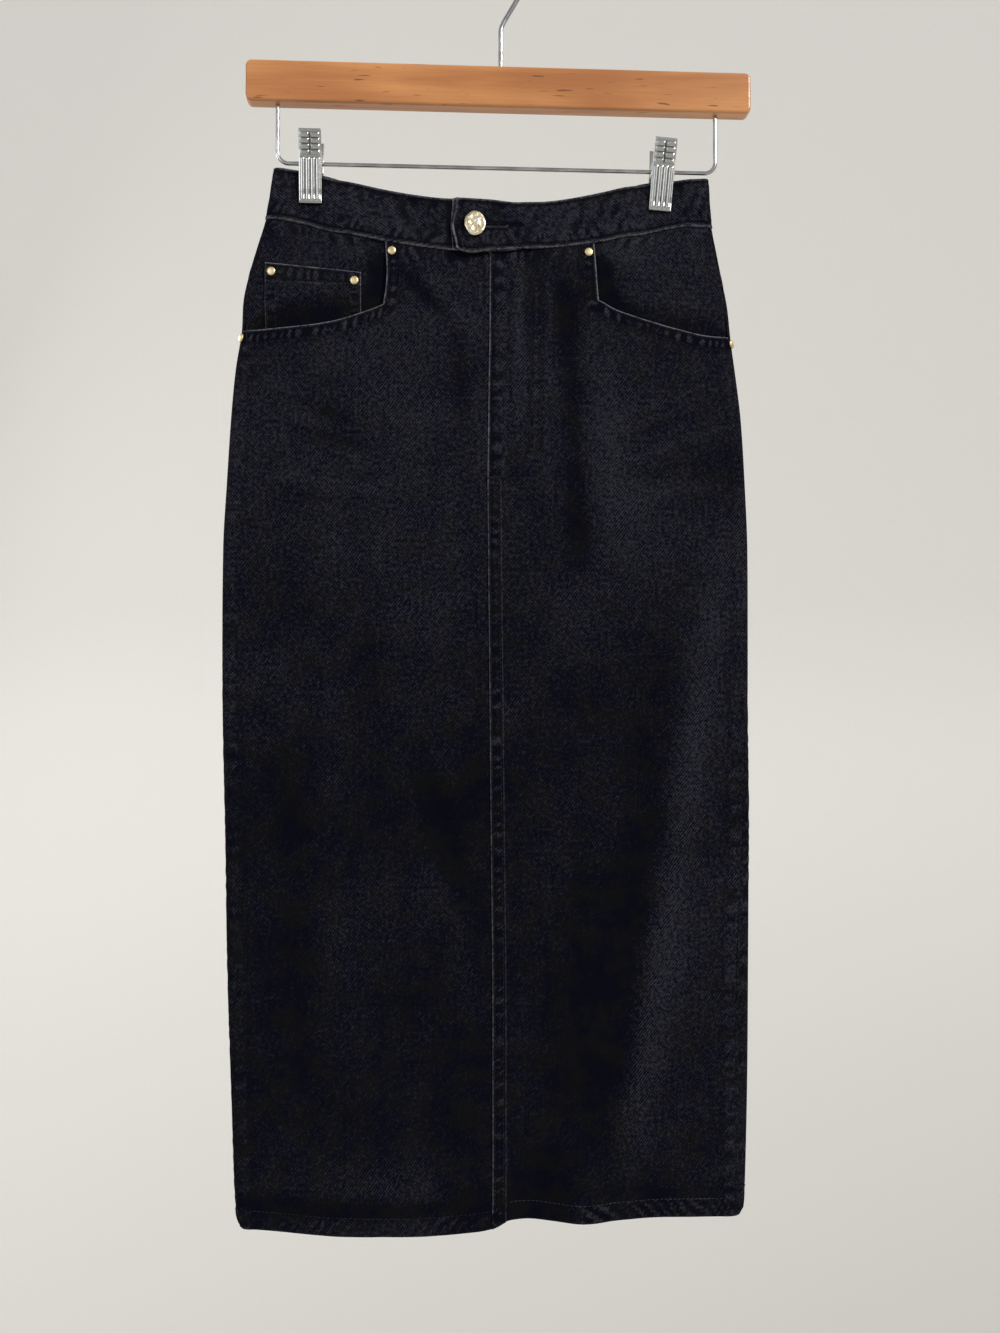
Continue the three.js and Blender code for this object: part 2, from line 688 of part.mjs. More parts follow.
// A straight prism of a shape drawn in X and Z, between two depths in Y.
function prismY(shape, from, to) {
  const geometry = new THREE.ExtrudeGeometry(shape, { depth: to - from, bevelEnabled: false });
  return geometry.rotateX(Math.PI / 2).translate(0, to, 0);
}

const cylinder = (diameter, length) => new THREE.CylinderGeometry(diameter / 2, diameter / 2, length, 12);

// The eye round the button's shank and the slit that runs from it.
function buttonhole() {
  const { eye, slit, end } = BUTTONHOLE;
  const shape = new THREE.Shape();
  const start = Math.asin(slit / eye);
  shape.absarc(BUTTON.x, BUTTON.z, eye / 2, start, 2 * Math.PI - start, false);
  shape.lineTo(end, BUTTON.z - slit / 2);
  shape.lineTo(end, BUTTON.z + slit / 2);
  const points = shape.getPoints(5).map(({ x, y }) => new THREE.Vector2(x, y));
  return prismY(new THREE.Shape(points), -30, -4);
}

// Sets a piece that is turned about its own Z on the cloth, standing square out from it.
function seated(geometry, side, girth, z, offset) {
  const at = (step, rise) => new THREE.Vector3(...clothPoint(side, girth + step, z + rise, 0));
  const along = at(1, 0).sub(at(-1, 0)).multiplyScalar(side);
  const up = at(0, 2).sub(at(0, -2));
  const out = along.cross(up).normalize();
  const turn = new THREE.Quaternion().setFromUnitVectors(new THREE.Vector3(0, 0, 1), out);
  return { geometry, position: at(0, 0).addScaledVector(out, offset), turn };
}

const profile = (...points) => points.map(([r, z]) => new THREE.Vector2(r, z));

// Lathe work stands along its own Y, so it is turned to stand along Z.
const turned = (points, sides) => new THREE.LatheGeometry(points, sides).rotateX(Math.PI / 2);

function button() {
  const { diameter, shank, thick, x, z } = BUTTON;
  const [rim, neck] = [diameter / 2, shank / 2];
  const head = TAB_LIFT + GAP; // of the neck, from the underlap to the back of the head
  const shape = profile(
    [0, 0], [neck, 0], [neck, head], [rim - 1, head], [rim, head + 0.8], [rim, head + thick - 0.8],
    [rim - 1.2, head + thick], [rim - 3, head + thick - 0.4], [0, head + thick - 0.2],
  );
  return seated(turned(shape, 20), 1, x - seamX(z), z, BAND_PROUD + GAP);
}

function rivet(side, girth, z, offset) {
  const r = RIVET_DIAMETER / 2;
  const shape = profile([0, 0], [r, 0], [r, 0.5], [r - 0.8, 1.1], [0, 1.3]);
  return seated(turned(shape, 10), side, girth, z, offset + GAP);
}

// Where the six rivets are: two at the pocket tops, two on the coin pocket, two at the sides.
function rivets() {
  const atSide = (side, z) => half(side, z).flat + half(side, z).fold * 0.9;
  const coinTop = facingOffset(SIDES[0], 125, -246) + GAP + DENIM + 0.4;
  return {
    rivet_pocket_left: rivet(-1, 69.8, -228.5, 0),
    rivet_pocket_right: rivet(1, 71.6, -226.5, 0),
    rivet_coin_near: rivet(-1, 95.9, -251.5, facingOffset(SIDES[0], 95.9, -251.5) + GAP + DENIM + 0.5),
    rivet_coin_far: rivet(-1, 155.2, -243.9, coinTop),
    rivet_side_left: rivet(-1, atSide(-1, -290.6), -290.6, 0.1),
    rivet_side_right: rivet(1, atSide(1, -289.6), -289.6, 0.1),
  };
}

// A path through given points, each at its own step along the wire.
class WirePath extends THREE.Curve {
  constructor(points) {
    super();
    this.points = points;
  }

  getUtoTmapping(u) {
    return u;
  }

  getPoint(t, target = new THREE.Vector3()) {
    const at = clamp(t, 0, 1) * (this.points.length - 1);
    const k = Math.min(Math.floor(at), this.points.length - 2);
    return target.lerpVectors(this.points[k], this.points[k + 1], at - k);
  }
}

const wire = (points, diameter, sides) => new THREE.ExtrudeGeometry(
  roundShape(diameter / 2, sides),
  { steps: points.length - 1, extrudePath: new WirePath(points) },
);

// Points of an arc in X and Z, angles in degrees.
const arcXZ = (cx, cz, radius, from, to, steps) => Array.from({ length: steps + 1 }, (_, k) => {
  const angle = THREE.MathUtils.degToRad(lerp(from, to, k / steps));
  return new THREE.Vector3(cx + radius * Math.cos(angle), 0, cz + radius * Math.sin(angle));
});

// The hook: a stem, a straight lean to one side, and an arc over the rail. The lean meets
// the arc squarely because the stem's bend lies two radii below the arc's centre.
function hook() {
  const centre = HOOK.wire / 2 - HOOK.radius;
  const bend = centre - 2 * HOOK.radius;
  const stem = [
    new THREE.Vector3(0, 0, BAR.top - SOCKET_DEPTH + GAP),
    new THREE.Vector3(0, 0, bend - 3),
    new THREE.Vector3(0.3, 0, bend - 0.6),
    new THREE.Vector3(1.6, 0, bend + 2.8),
  ];
  return wire([...stem, ...arcXZ(0, centre, HOOK.radius, -30, HOOK.tip, 22)], HOOK.wire, 10);
}

function rod() {
  const [left, right] = [ROD.middle - ROD.half, ROD.middle + ROD.half];
  const top = BAR.top - BAR.height + SOCKET_DEPTH - GAP;
  const { z, bend } = ROD;
  return wire([
    new THREE.Vector3(left, 0, top),
    ...arcXZ(left + bend, z + bend, bend, 180, 270, 6),
    new THREE.Vector3(ROD.middle, 0, z),
    ...arcXZ(right - bend, z + bend, bend, 270, 360, 6),
    new THREE.Vector3(right, 0, top),
  ], ROD.wire, 10);
}

function bar() {
  const { width, height, depth, top, corner, edge } = BAR;
  const [w, h, r] = [width / 2 - edge, height / 2 - edge, corner - edge];
  const shape = new THREE.Shape();
  shape.absarc(w - r, h - r, r, 0, Math.PI / 2);
  shape.absarc(r - w, h - r, r, Math.PI / 2, Math.PI);
  shape.absarc(r - w, r - h, r, Math.PI, Math.PI * 1.5);
  shape.absarc(w - r, r - h, r, Math.PI * 1.5, Math.PI * 2);
  const block = new THREE.ExtrudeGeometry(shape, {
    depth: depth - 2 * edge, bevelSize: edge, bevelThickness: edge, bevelSegments: 2, curveSegments: 3,
  });
  block.rotateX(Math.PI / 2).translate(0, depth / 2 - edge, top - height / 2);
  const socket = (x, wireDiameter, end) => {
    const hole = cylinder(wireDiameter + 2 * GAP, 2 * SOCKET_DEPTH).rotateX(Math.PI / 2);
    return hole.translate(x, 0, end);
  };
  return cut(
    block,
    socket(0, HOOK.wire, top),
    socket(ROD.middle - ROD.half, ROD.wire, top - height),
    socket(ROD.middle + ROD.half, ROD.wire, top - height),
  );
}

// Middle of a jaw's plate from its lever's top down to its grip, about the rod.
const JAW = table(['y', 'z'], [11.3, 20.4], [7.4, 6], [6.4, -4], [4.6, -20.6], [3.9, -24], [3.9, -30.4]);

// A clip's jaw: a bent plate with ribs on its outside and two ears that turn on the rod.
// face is -1 for the front jaw and 1 for the back one, whose ears lie inside the other's.
function jaw(face, lean) {
  const { width, plate, ear, earRadius, rib } = CLIP;
  const outline = new THREE.Shape([
    ...JAW.map(({ y, z }) => new THREE.Vector2(y - plate / 2, z)),
    ...JAW.map(({ y, z }) => new THREE.Vector2(y + plate / 2, z)).reverse(),
  ]);
  const alongX = (shape, thick) => {
    const solid = new THREE.ExtrudeGeometry(shape, { depth: thick, bevelEnabled: false, curveSegments: 5 });
    return solid.translate(0, 0, -thick / 2).rotateX(Math.PI / 2).rotateZ(Math.PI / 2);
  };
  const earShape = new THREE.Shape();
  earShape.moveTo(7.2, 5);
  earShape.absarc(0, 0, earRadius, Math.PI / 2, Math.PI * 1.5, false);
  earShape.lineTo(6.6, -5);
  const earX = width / 2 - ear / 2 - (face > 0 ? ear + GAP : 0);
  const ears = [-1, 1].map((end) => alongX(earShape, ear).translate(end * earX, 0, 0));
  const slab = (w, h, x, z, y, tilt) => new THREE.BoxGeometry(w, 2 * rib, h).rotateX(tilt).translate(x, y, z);
  const leverTilt = -Math.atan2(JAW[0].y - JAW[1].y, JAW[0].z - JAW[1].z);
  const bodyTilt = -Math.atan2(JAW[2].y - JAW[3].y, JAW[2].z - JAW[3].z);
  const skin = (z, k) => {
    const share = (z - JAW[k].z) / (JAW[k + 1].z - JAW[k].z);
    return lerp(JAW[k].y, JAW[k + 1].y, share) + plate / 2 + 0.15;
  };
  const grips = [16.4, 12.6, 8.8, 5].flatMap((z) =>
    [-1, 1].map((end) => slab(6.2, 2.1, end * 3.8, z, skin(z, 0), leverTilt)));
  const flutes = [-1.5, -0.5, 0.5, 1.5].map((k) => slab(1.7, 17, k * 3.7, -13, skin(-13, 2), bodyTilt));
  const solid = join(alongX(outline, width), ...ears, ...grips, ...flutes);
  if (face < 0) solid.scale(1, -1, 1);
  const bore = cylinder(ROD.wire + 2 * GAP, 2 * width).rotateZ(Math.PI / 2).rotateY(-lean);
  return cut(closed(solid), bore);
}

// The torsion spring round the rod, its two arms against the insides of the levers.
function spring() {
  const { coil, turns, steps } = SPRING;
  const coilPoints = Array.from({ length: steps + 1 }, (_, k) => {
    const angle = Math.PI + (2 * Math.PI * turns * k) / steps;
    const x = lerp(-SPRING.half, SPRING.half, k / steps);
    return new THREE.Vector3(x, coil * Math.cos(angle), coil * Math.sin(angle));
  });
  const arm = (end) => new THREE.Vector3(end * SPRING.half, end * SPRING.armY, SPRING.armZ);
  return wire([arm(-1), ...coilPoints, arm(1)], SPRING.wire, 6);
}

const metal = (color, roughness) => new THREE.MeshStandardMaterial({ color, roughness, metalness: 1 });
const denim = (color) => new THREE.MeshStandardMaterial({ color, roughness: 0.9, metalness: 0 });

const MATERIALS = {
  denim: denim(0x1b1c25),
  waistband: denim(0x23242e),
  facing: denim(0x14151d),
  zip: new THREE.MeshStandardMaterial({ color: 0x15161c, roughness: 0.7, metalness: 0.1 }),
  gold: metal(0xd6cbad, 0.28),
  chrome: metal(0xc9c9c6, 0.22),
  wood: new THREE.MeshStandardMaterial({ color: 0xb4784b, roughness: 0.35, metalness: 0 }),
};

const skirt = new THREE.Group();

function add(name, geometry, material, parent = skirt) {
  const mesh = new THREE.Mesh(geometry, MATERIALS[material]);
  mesh.name = name;
  parent.add(mesh);
  return mesh;
}

function addSeated(name, { geometry, position, turn }, material) {
  const mesh = add(name, closed(geometry), material);
  mesh.position.copy(position);
  mesh.quaternion.copy(turn);
}

function addCloth() {
  for (const half_ of SIDES) {
    add(`front_${half_.name}`, frontPanel(half_), 'denim');
    add(`back_${half_.name}`, backPanel(half_), 'denim');
    add(`back_yoke_${half_.name}`, backYoke(half_), 'denim');
    add(`pocket_facing_${half_.name}`, pocketFacing(half_), 'facing');
  }
  add('coin_pocket', coinPocket(SIDES[0]), 'facing');
  add('waistband_underlap', underlapBand(), 'waistband');
  add('waistband_tab', tabBand(), 'waistband');
  add('waistband_back', backBand(), 'waistband');
  add('fly_zip', flyZip(), 'zip');
}

function addTrim() {
  addSeated('button', button(), 'gold');
  for (const [name, piece] of Object.entries(rivets())) addSeated(name, piece, 'gold');
}

function addHanger() {
  add('hanger_bar', bar(), 'wood');
  add('hanger_hook', closed(hook()), 'chrome');
  add('hanger_rod', closed(rod()), 'chrome');
  for (const clip of CLIPS) {
    const group = new THREE.Group();
    group.position.set(clip.x, 0, ROD.z);
    group.rotation.y = clip.lean;
    add(`clip_front_${clip.name}`, jaw(-1, clip.lean), 'chrome', group);
    add(`clip_back_${clip.name}`, jaw(1, clip.lean), 'chrome', group);
    add(`clip_spring_${clip.name}`, closed(spring()), 'chrome', group);
    skirt.add(group);
  }
}

addCloth();
addTrim();
addHanger();

export default skirt;
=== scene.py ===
"""Washed black denim skirt, clipped by its waistband to a wooden bar hanger.

Lengths are millimetres until a mesh is made. X runs across the skirt, Y through it and Z up, and
the front faces -Y. Left and right are as seen from the front. A point of the cloth is found by its
height and its girth, the distance round the skirt from the centre front seam to the centre back.
"""

from __future__ import annotations

import logging
import math
from collections.abc import Callable, Iterable, Sequence
from dataclasses import dataclass, field
from enum import Enum
from typing import Any, NamedTuple

import bmesh
import bpy
import numpy as np
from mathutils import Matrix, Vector


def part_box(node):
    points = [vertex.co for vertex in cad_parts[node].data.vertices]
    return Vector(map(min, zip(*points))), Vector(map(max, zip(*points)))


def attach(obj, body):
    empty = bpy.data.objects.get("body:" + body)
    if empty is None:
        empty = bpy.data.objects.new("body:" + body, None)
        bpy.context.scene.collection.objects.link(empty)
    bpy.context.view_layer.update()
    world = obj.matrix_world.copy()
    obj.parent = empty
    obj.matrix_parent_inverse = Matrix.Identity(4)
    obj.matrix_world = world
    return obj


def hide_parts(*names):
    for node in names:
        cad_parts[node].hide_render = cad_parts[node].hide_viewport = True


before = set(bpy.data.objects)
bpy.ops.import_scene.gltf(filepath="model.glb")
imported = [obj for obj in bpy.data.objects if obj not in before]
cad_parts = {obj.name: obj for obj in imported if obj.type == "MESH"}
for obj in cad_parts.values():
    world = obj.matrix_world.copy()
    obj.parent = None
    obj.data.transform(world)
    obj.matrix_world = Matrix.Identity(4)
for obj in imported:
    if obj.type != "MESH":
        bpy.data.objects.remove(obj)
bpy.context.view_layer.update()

LOG = logging.getLogger("skirt")
MM = 0.001
Array = np.ndarray
Guide = Callable[[Array], Array]
Colour = tuple[float, float, float]
Triple = tuple[float, float, float]
Sockets = dict[Any, Any]
Piece = bpy.types.Object


class Named(Enum):
    """An option whose name is also a word in the names of pieces and of columns."""

    @property
    def label(self) -> str:
        """That word."""
        return self.name.lower()


class Side(Named):
    """The two halves of the skirt, as seen from the front."""

    LEFT = -1
    RIGHT = 1


class Face(Named):
    """The front and the back of the skirt."""

    FRONT = -1
    BACK = 1


class Curve:
    """A smooth curve through points, held level past its ends."""

    def __init__(self, points: Iterable[tuple[float, float]]) -> None:
        """Sorts the points and takes each slope from its neighbours."""
        self.x, self.y = np.array(sorted(points), float).T
        before = np.maximum(np.arange(len(self.x)) - 1, 0)
        after = np.minimum(np.arange(len(self.x)) + 1, len(self.x) - 1)
        self.slope = (self.y[after] - self.y[before]) / (self.x[after] - self.x[before])

    def __call__(self, at: Any) -> Array:
        """Value of the curve.

        Args:
            at: where along it.

        Returns:
            The value there.
        """
        x = np.clip(np.asarray(at, float), self.x[0], self.x[-1])
        k = np.clip(np.searchsorted(self.x, x, side="right") - 1, 0, len(self.x) - 2)
        width = self.x[k + 1] - self.x[k]
        t = (x - self.x[k]) / width
        rise = (2 * t**3 - 3 * t**2 + 1) * self.y[k] + (3 * t**2 - 2 * t**3) * self.y[k + 1]
        return rise + width * ((t**3 - 2 * t**2 + t) * self.slope[k] + (t**3 - t**2) * self.slope[k + 1])


@dataclass(frozen=True)
class Table:
    """Measured rows, with the names of their columns."""

    names: str
    rows: tuple[tuple[float, ...], ...]

    def curve(self, column: str) -> Curve:
        """The curve of one column along the first."""
        at = self.names.split().index(column)
        return Curve((row[0], row[at]) for row in self.rows)


# The skirt by height: its edges, centre seam, side fold radius, and swell of each face.
SECTIONS = Table("z left right seam fold front back", (
    (-168, -163.5, 152.5, -8.5, 3.5, 3.6, 2.6),
    (-203, -169.0, 155.0, -8.5, 3.9, 5.5, 4.0),
    (-220, -174.0, 158.2, -8.5, 4.2, 6.5, 4.6),
    (-240, -179.8, 162.1, -8.6, 4.6, 7.4, 5.2),
    (-262, -184.7, 166.4, -8.8, 4.9, 8.0, 5.6),
    (-286, -186.0, 168.9, -8.9, 5.0, 8.5, 6.0),
    (-312, -190.0, 172.2, -9.3, 5.0, 8.4, 6.0),
    (-345, -193.0, 176.0, -9.7, 5.0, 8.0, 6.0),
    (-395, -196.0, 178.9, -10.2, 5.0, 7.4, 6.0),
    (-440, -198.3, 180.5, -9.8, 5.0, 7.0, 5.8),
    (-550, -198.2, 180.3, -8.7, 5.0, 6.5, 5.4),
    (-650, -195.7, 180.7, -7.7, 4.8, 6.2, 5.0),
    (-740, -193.9, 179.6, -6.7, 4.6, 6.0, 4.8),
    (-830, -190.6, 178.4, -6.5, 4.5, 5.8, 4.6),
    (-905, -187.5, 176.3, -6.5, 4.4, 5.6, 4.6),
    (-930, -184.6, 174.8, -6.5, 4.4, 5.6, 4.6),
))

# How far each side seam lies inside the skirt's edge, seen from the front.
SIDE_INSETS = Table("z left right", (
    (-204, 0.9, 1.3),
    (-290, 1.2, 3.0),
    (-335, 1.0, 1.5),
    (-500, 1.0, 1.0),
    (-570, 1.1, 3.5),
    (-640, 1.3, 6.0),
    (-764, 1.8, 10.0),
    (-905, 2.5, 8.0),
))

# Heights of the waistband's top edge and of the seam below it, along the front.
WAIST = Table("x top seam", (
    (-170, -166.4, -203.9),
    (-145, -168.4, -206.6),
    (-126, -172.9, -211.9),
    (-106, -178.1, -216.8),
    (-78, -184.4, -222.2),
    (-51, -187.9, -225.8),
    (-32, -189.0, -227.6),
    (-8, -190.4, -228.2),
    (12, -192.2, -226.8),
    (38, -189.0, -223.9),
    (74, -180.8, -217.8),
    (107, -172.5, -209.4),
    (129, -169.3, -204.4),
    (150, -167.6, -203.8),
))

# Height of the hem's bottom edge on each face.
HEM = Table("x front back", (
    (-175, -920.5, -918.5),
    (-141, -922.6, -920.0),
    (-60, -925.2, -921.0),
    (-25, -924.0, -920.8),
    (-7, -921.6, -920.4),
    (6.4, -916.2, -920.2),
    (35, -918.0, -919.8),
    (56, -919.8, -919.6),
    (87, -918.2, -919.4),
    (125, -917.8, -919.2),
    (164, -919.3, -918.8),
))

# Distance out from the centre seam of each pocket opening's upright edge.
POCKET_SIDES = Table("z left right", (
    (-220, 74.8, 75.8),
    (-241, 73.4, 77.3),
    (-254, 73.8, 78.2),
    (-266, 75.4, 79.5),
))

# Height of each pocket opening's lower edge, at a distance out from the centre seam.
POCKET_LINES = Table("out left right", (
    (75, -267.0, -261.9),
    (80, -269.4, -262.1),
    (90, -273.2, -267.6),
    (105, -277.9, -272.6),
    (120, -281.0, -276.8),
    (135, -282.6, -280.3),
    (155, -284.2, -283.8),
    (175, -285.7, -285.0),
))


class Fold(NamedTuple):
    """A soft fold from one point to a lower one; a negative depth is a trough."""

    face: Face
    x0: float
    z0: float
    x1: float
    z1: float
    width: float
    depth: float
    fade: float


def spread(groups: Iterable[tuple[Face, Iterable[tuple[float, ...]]]]) -> tuple[Fold, ...]:
    """The folds of both faces in one row."""
    return tuple(Fold(face, *row) for face, rows in groups for row in rows)


FOLDS = spread((
    (Face.FRONT, (
        (-76, -236, -34, -284, 6.5, -1.8, 14),
        (-33, -270, -29, -366, 6, -1.4, 26),
        (-56, -236, -18, -302, 7, 0.9, 24),
        (44, -228, 57, -476, 9, -2.5, 50),
        (74, -270, 82, -470, 14, 1.0, 70),
        (-140, -335, -90, -372, 9, -0.7, 16),
        (-64, -570, -20, -720, 10, -1.9, 50),
        (-44, -640, -16, -800, 12, 0.9, 60),
        (163, -420, 86, -906, 15, 1.9, 90),
        (130, -500, 60, -880, 20, -1.3, 110),
        (-152, -540, -140, -900, 15, -1.0, 120),
        (-95, -850, -95, -1000, 48, 3.0, 70),
        (24, -845, 21, -1000, 15, -2.8, 60),
        (62, -860, 60, -1000, 13, 1.8, 60),
        (108, -860, 112, -1000, 13, -1.2, 60),
    )),
    (Face.BACK, (
        (-118, -250, -96, -470, 13, -1.5, 80),
        (-58, -520, -78, -900, 14, -2.0, 120),
        (66, -390, 92, -880, 16, 1.9, 130),
        (34, -690, 40, -1000, 12, -1.6, 90),
        (122, -800, 118, -1000, 20, 1.8, 90),
        (-130, -830, -136, -1000, 20, 1.5, 80),
    )),
))

# Finer creases than the frame has: whiskers at the hips, drag lines and hem ripples.
CREASES = spread((
    (Face.FRONT, (
        (-166, -331, -96, -352, 2.8, -0.35, 10),
        (-158, -345, -88, -362, 2.6, 0.45, 10),
        (-150, -357, -100, -369, 2.6, -0.55, 10),
        (-164, -388, -70, -404, 3.0, 0.35, 8),
        (-170, -398, -84, -414, 3.4, -0.4, 8),
        (156, -318, 84, -346, 3.2, 0.4, 10),
        (160, -336, 76, -366, 2.8, -0.35, 10),
        (164, -352, 84, -380, 2.6, 0.45, 12),
        (158, -372, 70, -394, 2.8, -0.35, 10),
        (160, -392, 82, -408, 3.0, 0.35, 10),
        (2, -230, 0, -280, 2.4, 0.5, 16),
        (12, -228, 11, -330, 2.8, 0.55, 30),
        (17, -228, 17, -300, 1.8, -0.5, 20),
        (33, -228, 36, -300, 3.0, 0.4, 20),
        (-20, -300, -13, -420, 5.0, 0.7, 40),
        (60, -560, 52, -820, 9, -0.7, 80),
        (-118, -440, -126, -700, 14, 0.45, 90),
        (-86, -430, -104, -620, 10, -0.6, 70),
    )),
    (Face.BACK, (
        (140, -300, 92, -322, 4.2, -0.4, 12),
        (-142, -302, -96, -330, 4.2, -0.4, 12),
        (20, -330, 30, -520, 9, 0.7, 70),
    )),
))
WHISKER_WIDTH = 4.5
WHISKERS = tuple(fold for fold in CREASES if fold.width < WHISKER_WIDTH)

# Cloth: one layer, the space between pieces, the waistband's and the hem's layers.
DENIM = 1.3
GAP = 0.3
BAND_PROUD = 0.6
BAND_DEEP = 2.1
HEM_TURN = 14.0
HEM_THICK = 2.5
HEM_CORNER = 8.0

# Felled centre seams and the fly, with their rows of stitches.
FELL_WIDTH = 9.6
FELL_PROUD = 0.9
FLY_WIDTH = 38.6
FLY_TURN = -362.0
FLY_PROUD = 0.5
FLY_BOTTOM = -391.0
FLY_ROWS = (30.2, 37.2)
FELL_ROWS = (1.8, 8.1)
POCKET_ROWS = (1.8, 9.4)
YOKE_ROWS = (1.8, 8.0)
COIN_ROWS = (1.8, 9.8)
HEM_ROW = HEM_TURN - 1.2
HALF_THREAD = 0.31

# Waist, yoke and pockets.
BACK_RISE = 3.0
TAB_END = -31.7
UNDERLAP_END = 12.0
TAB_LIFT = 3.0
TAB_SETTLES = 42.0
YOKE_CENTRE = -292.0
YOKE_SIDE = -246.4
POCKET_TUCK = 12.0
FACING_SINK = 3.0
FACING_SEWN = 0.42

# Height of the hanger's rod.
ROD_Z = -162.3


class ClipPlace(NamedTuple):
    """Where a clip grips the waistband, and how it leans."""

    side: Side
    x: float
    lean: float


CLIPS = (ClipPlace(Side.LEFT, -137.0, 0.0), ClipPlace(Side.RIGHT, 118.3, math.radians(4.25)))


@dataclass(frozen=True)
class Pinch:
    """How the clips press the cloth flat."""

    depth: float = 2.35
    flat: float = 10.5
    outer: float = 22.0
    inner: float = 30.0
    full: float = -199.0
    none: float = -242.0


PINCH = Pinch()


@dataclass(frozen=True)
class CoinPocketCut:
    """Edges of the coin pocket on the left facing: its girths, top heights and hem."""

    near: float = 91.4
    far: float = 160.0
    near_z: float = -245.0
    far_z: float = -236.7
    hem: float = 11.0
    tuck: float = 6.0
    thick: float = DENIM - 0.1
    hem_thick: float = 0.5
    side_rows: tuple[float, float] = (1.7, 7.6)

    def top(self, girth: Array) -> Array:
        """Height of its top edge at a girth."""
        slope = (self.far_z - self.near_z) / (self.far - self.near)
        return self.near_z + slope * (girth - self.near)


COIN = CoinPocketCut()


@dataclass(frozen=True)
class ButtonCut:
    """Place and size of the waist button and of its buttonhole."""

    x: float = -18.9
    z: float = -209.8
    diameter: float = 17.0
    thick: float = 2.6
    slit: float = 1.2
    eye: float = 2.2
    hole_end: float = 3.0


BUTTON = ButtonCut()


def smooth(at: Any, low: float, high: float) -> Array:
    """Smooth step from 0 at low to 1 at high."""
    share = np.clip((np.asarray(at, float) - low) / (high - low), 0.0, 1.0)
    return share * share * (3.0 - 2.0 * share)


def lerp(low: Any, high: Any, share: Any) -> Any:
    """Value at a share of the way from low to high."""
    return low + (high - low) * share


def ridge(at: Array, middle: float, width: float) -> Array:
    """Bell curve of height 1 about a middle."""
    return np.exp(-(((at - middle) / width) ** 2))


def level(value: float) -> Guide:
    """A guide line that is the same everywhere."""
    return lambda at: np.full_like(at, value)


def one(guide: Guide, at: float) -> float:
    """Value of a guide line at one place."""
    return float(guide(np.array([at]))[0])


def distances(path: Array) -> Array:
    """Distance along a path at each of its points."""
    return np.concatenate([[0.0], np.cumsum(np.linalg.norm(np.diff(path, axis=0), axis=1))])


class Ripples:
    """A smooth seeded unevenness: a sum of waves that run in random directions."""

    def __init__(self, seed: int, shortest: float, longest: float, count: int = 14) -> None:
        """Draws the waves.

        Args:
            seed: of the random draws.
            shortest: least wavelength.
            longest: greatest wavelength.
            count: number of waves.
        """
        draw = np.random.default_rng(seed)
        angle = draw.uniform(0, math.pi, count)
        length = np.exp(draw.uniform(math.log(shortest), math.log(longest), count))
        self.across = 2 * math.pi * np.cos(angle) / length
        self.along = 2 * math.pi * np.sin(angle) / length
        self.phase = draw.uniform(0, 2 * math.pi, count)

    def at(self, across: Array, along: Array) -> Array:
        """Height of the unevenness, mostly within 1 of 0, at a place on the cloth."""
        total = np.zeros(np.broadcast(across, along).shape)
        for a, b, phase in zip(self.across, self.along, self.phase):
            total += np.sin(a * across + b * along + phase)
        return total / math.sqrt(len(self.phase) / 1.4)


class Half(NamedTuple):
    """Half of the skirt at given heights."""

    flat: Array
    fold: Array
    turn: Array
    whole: Array


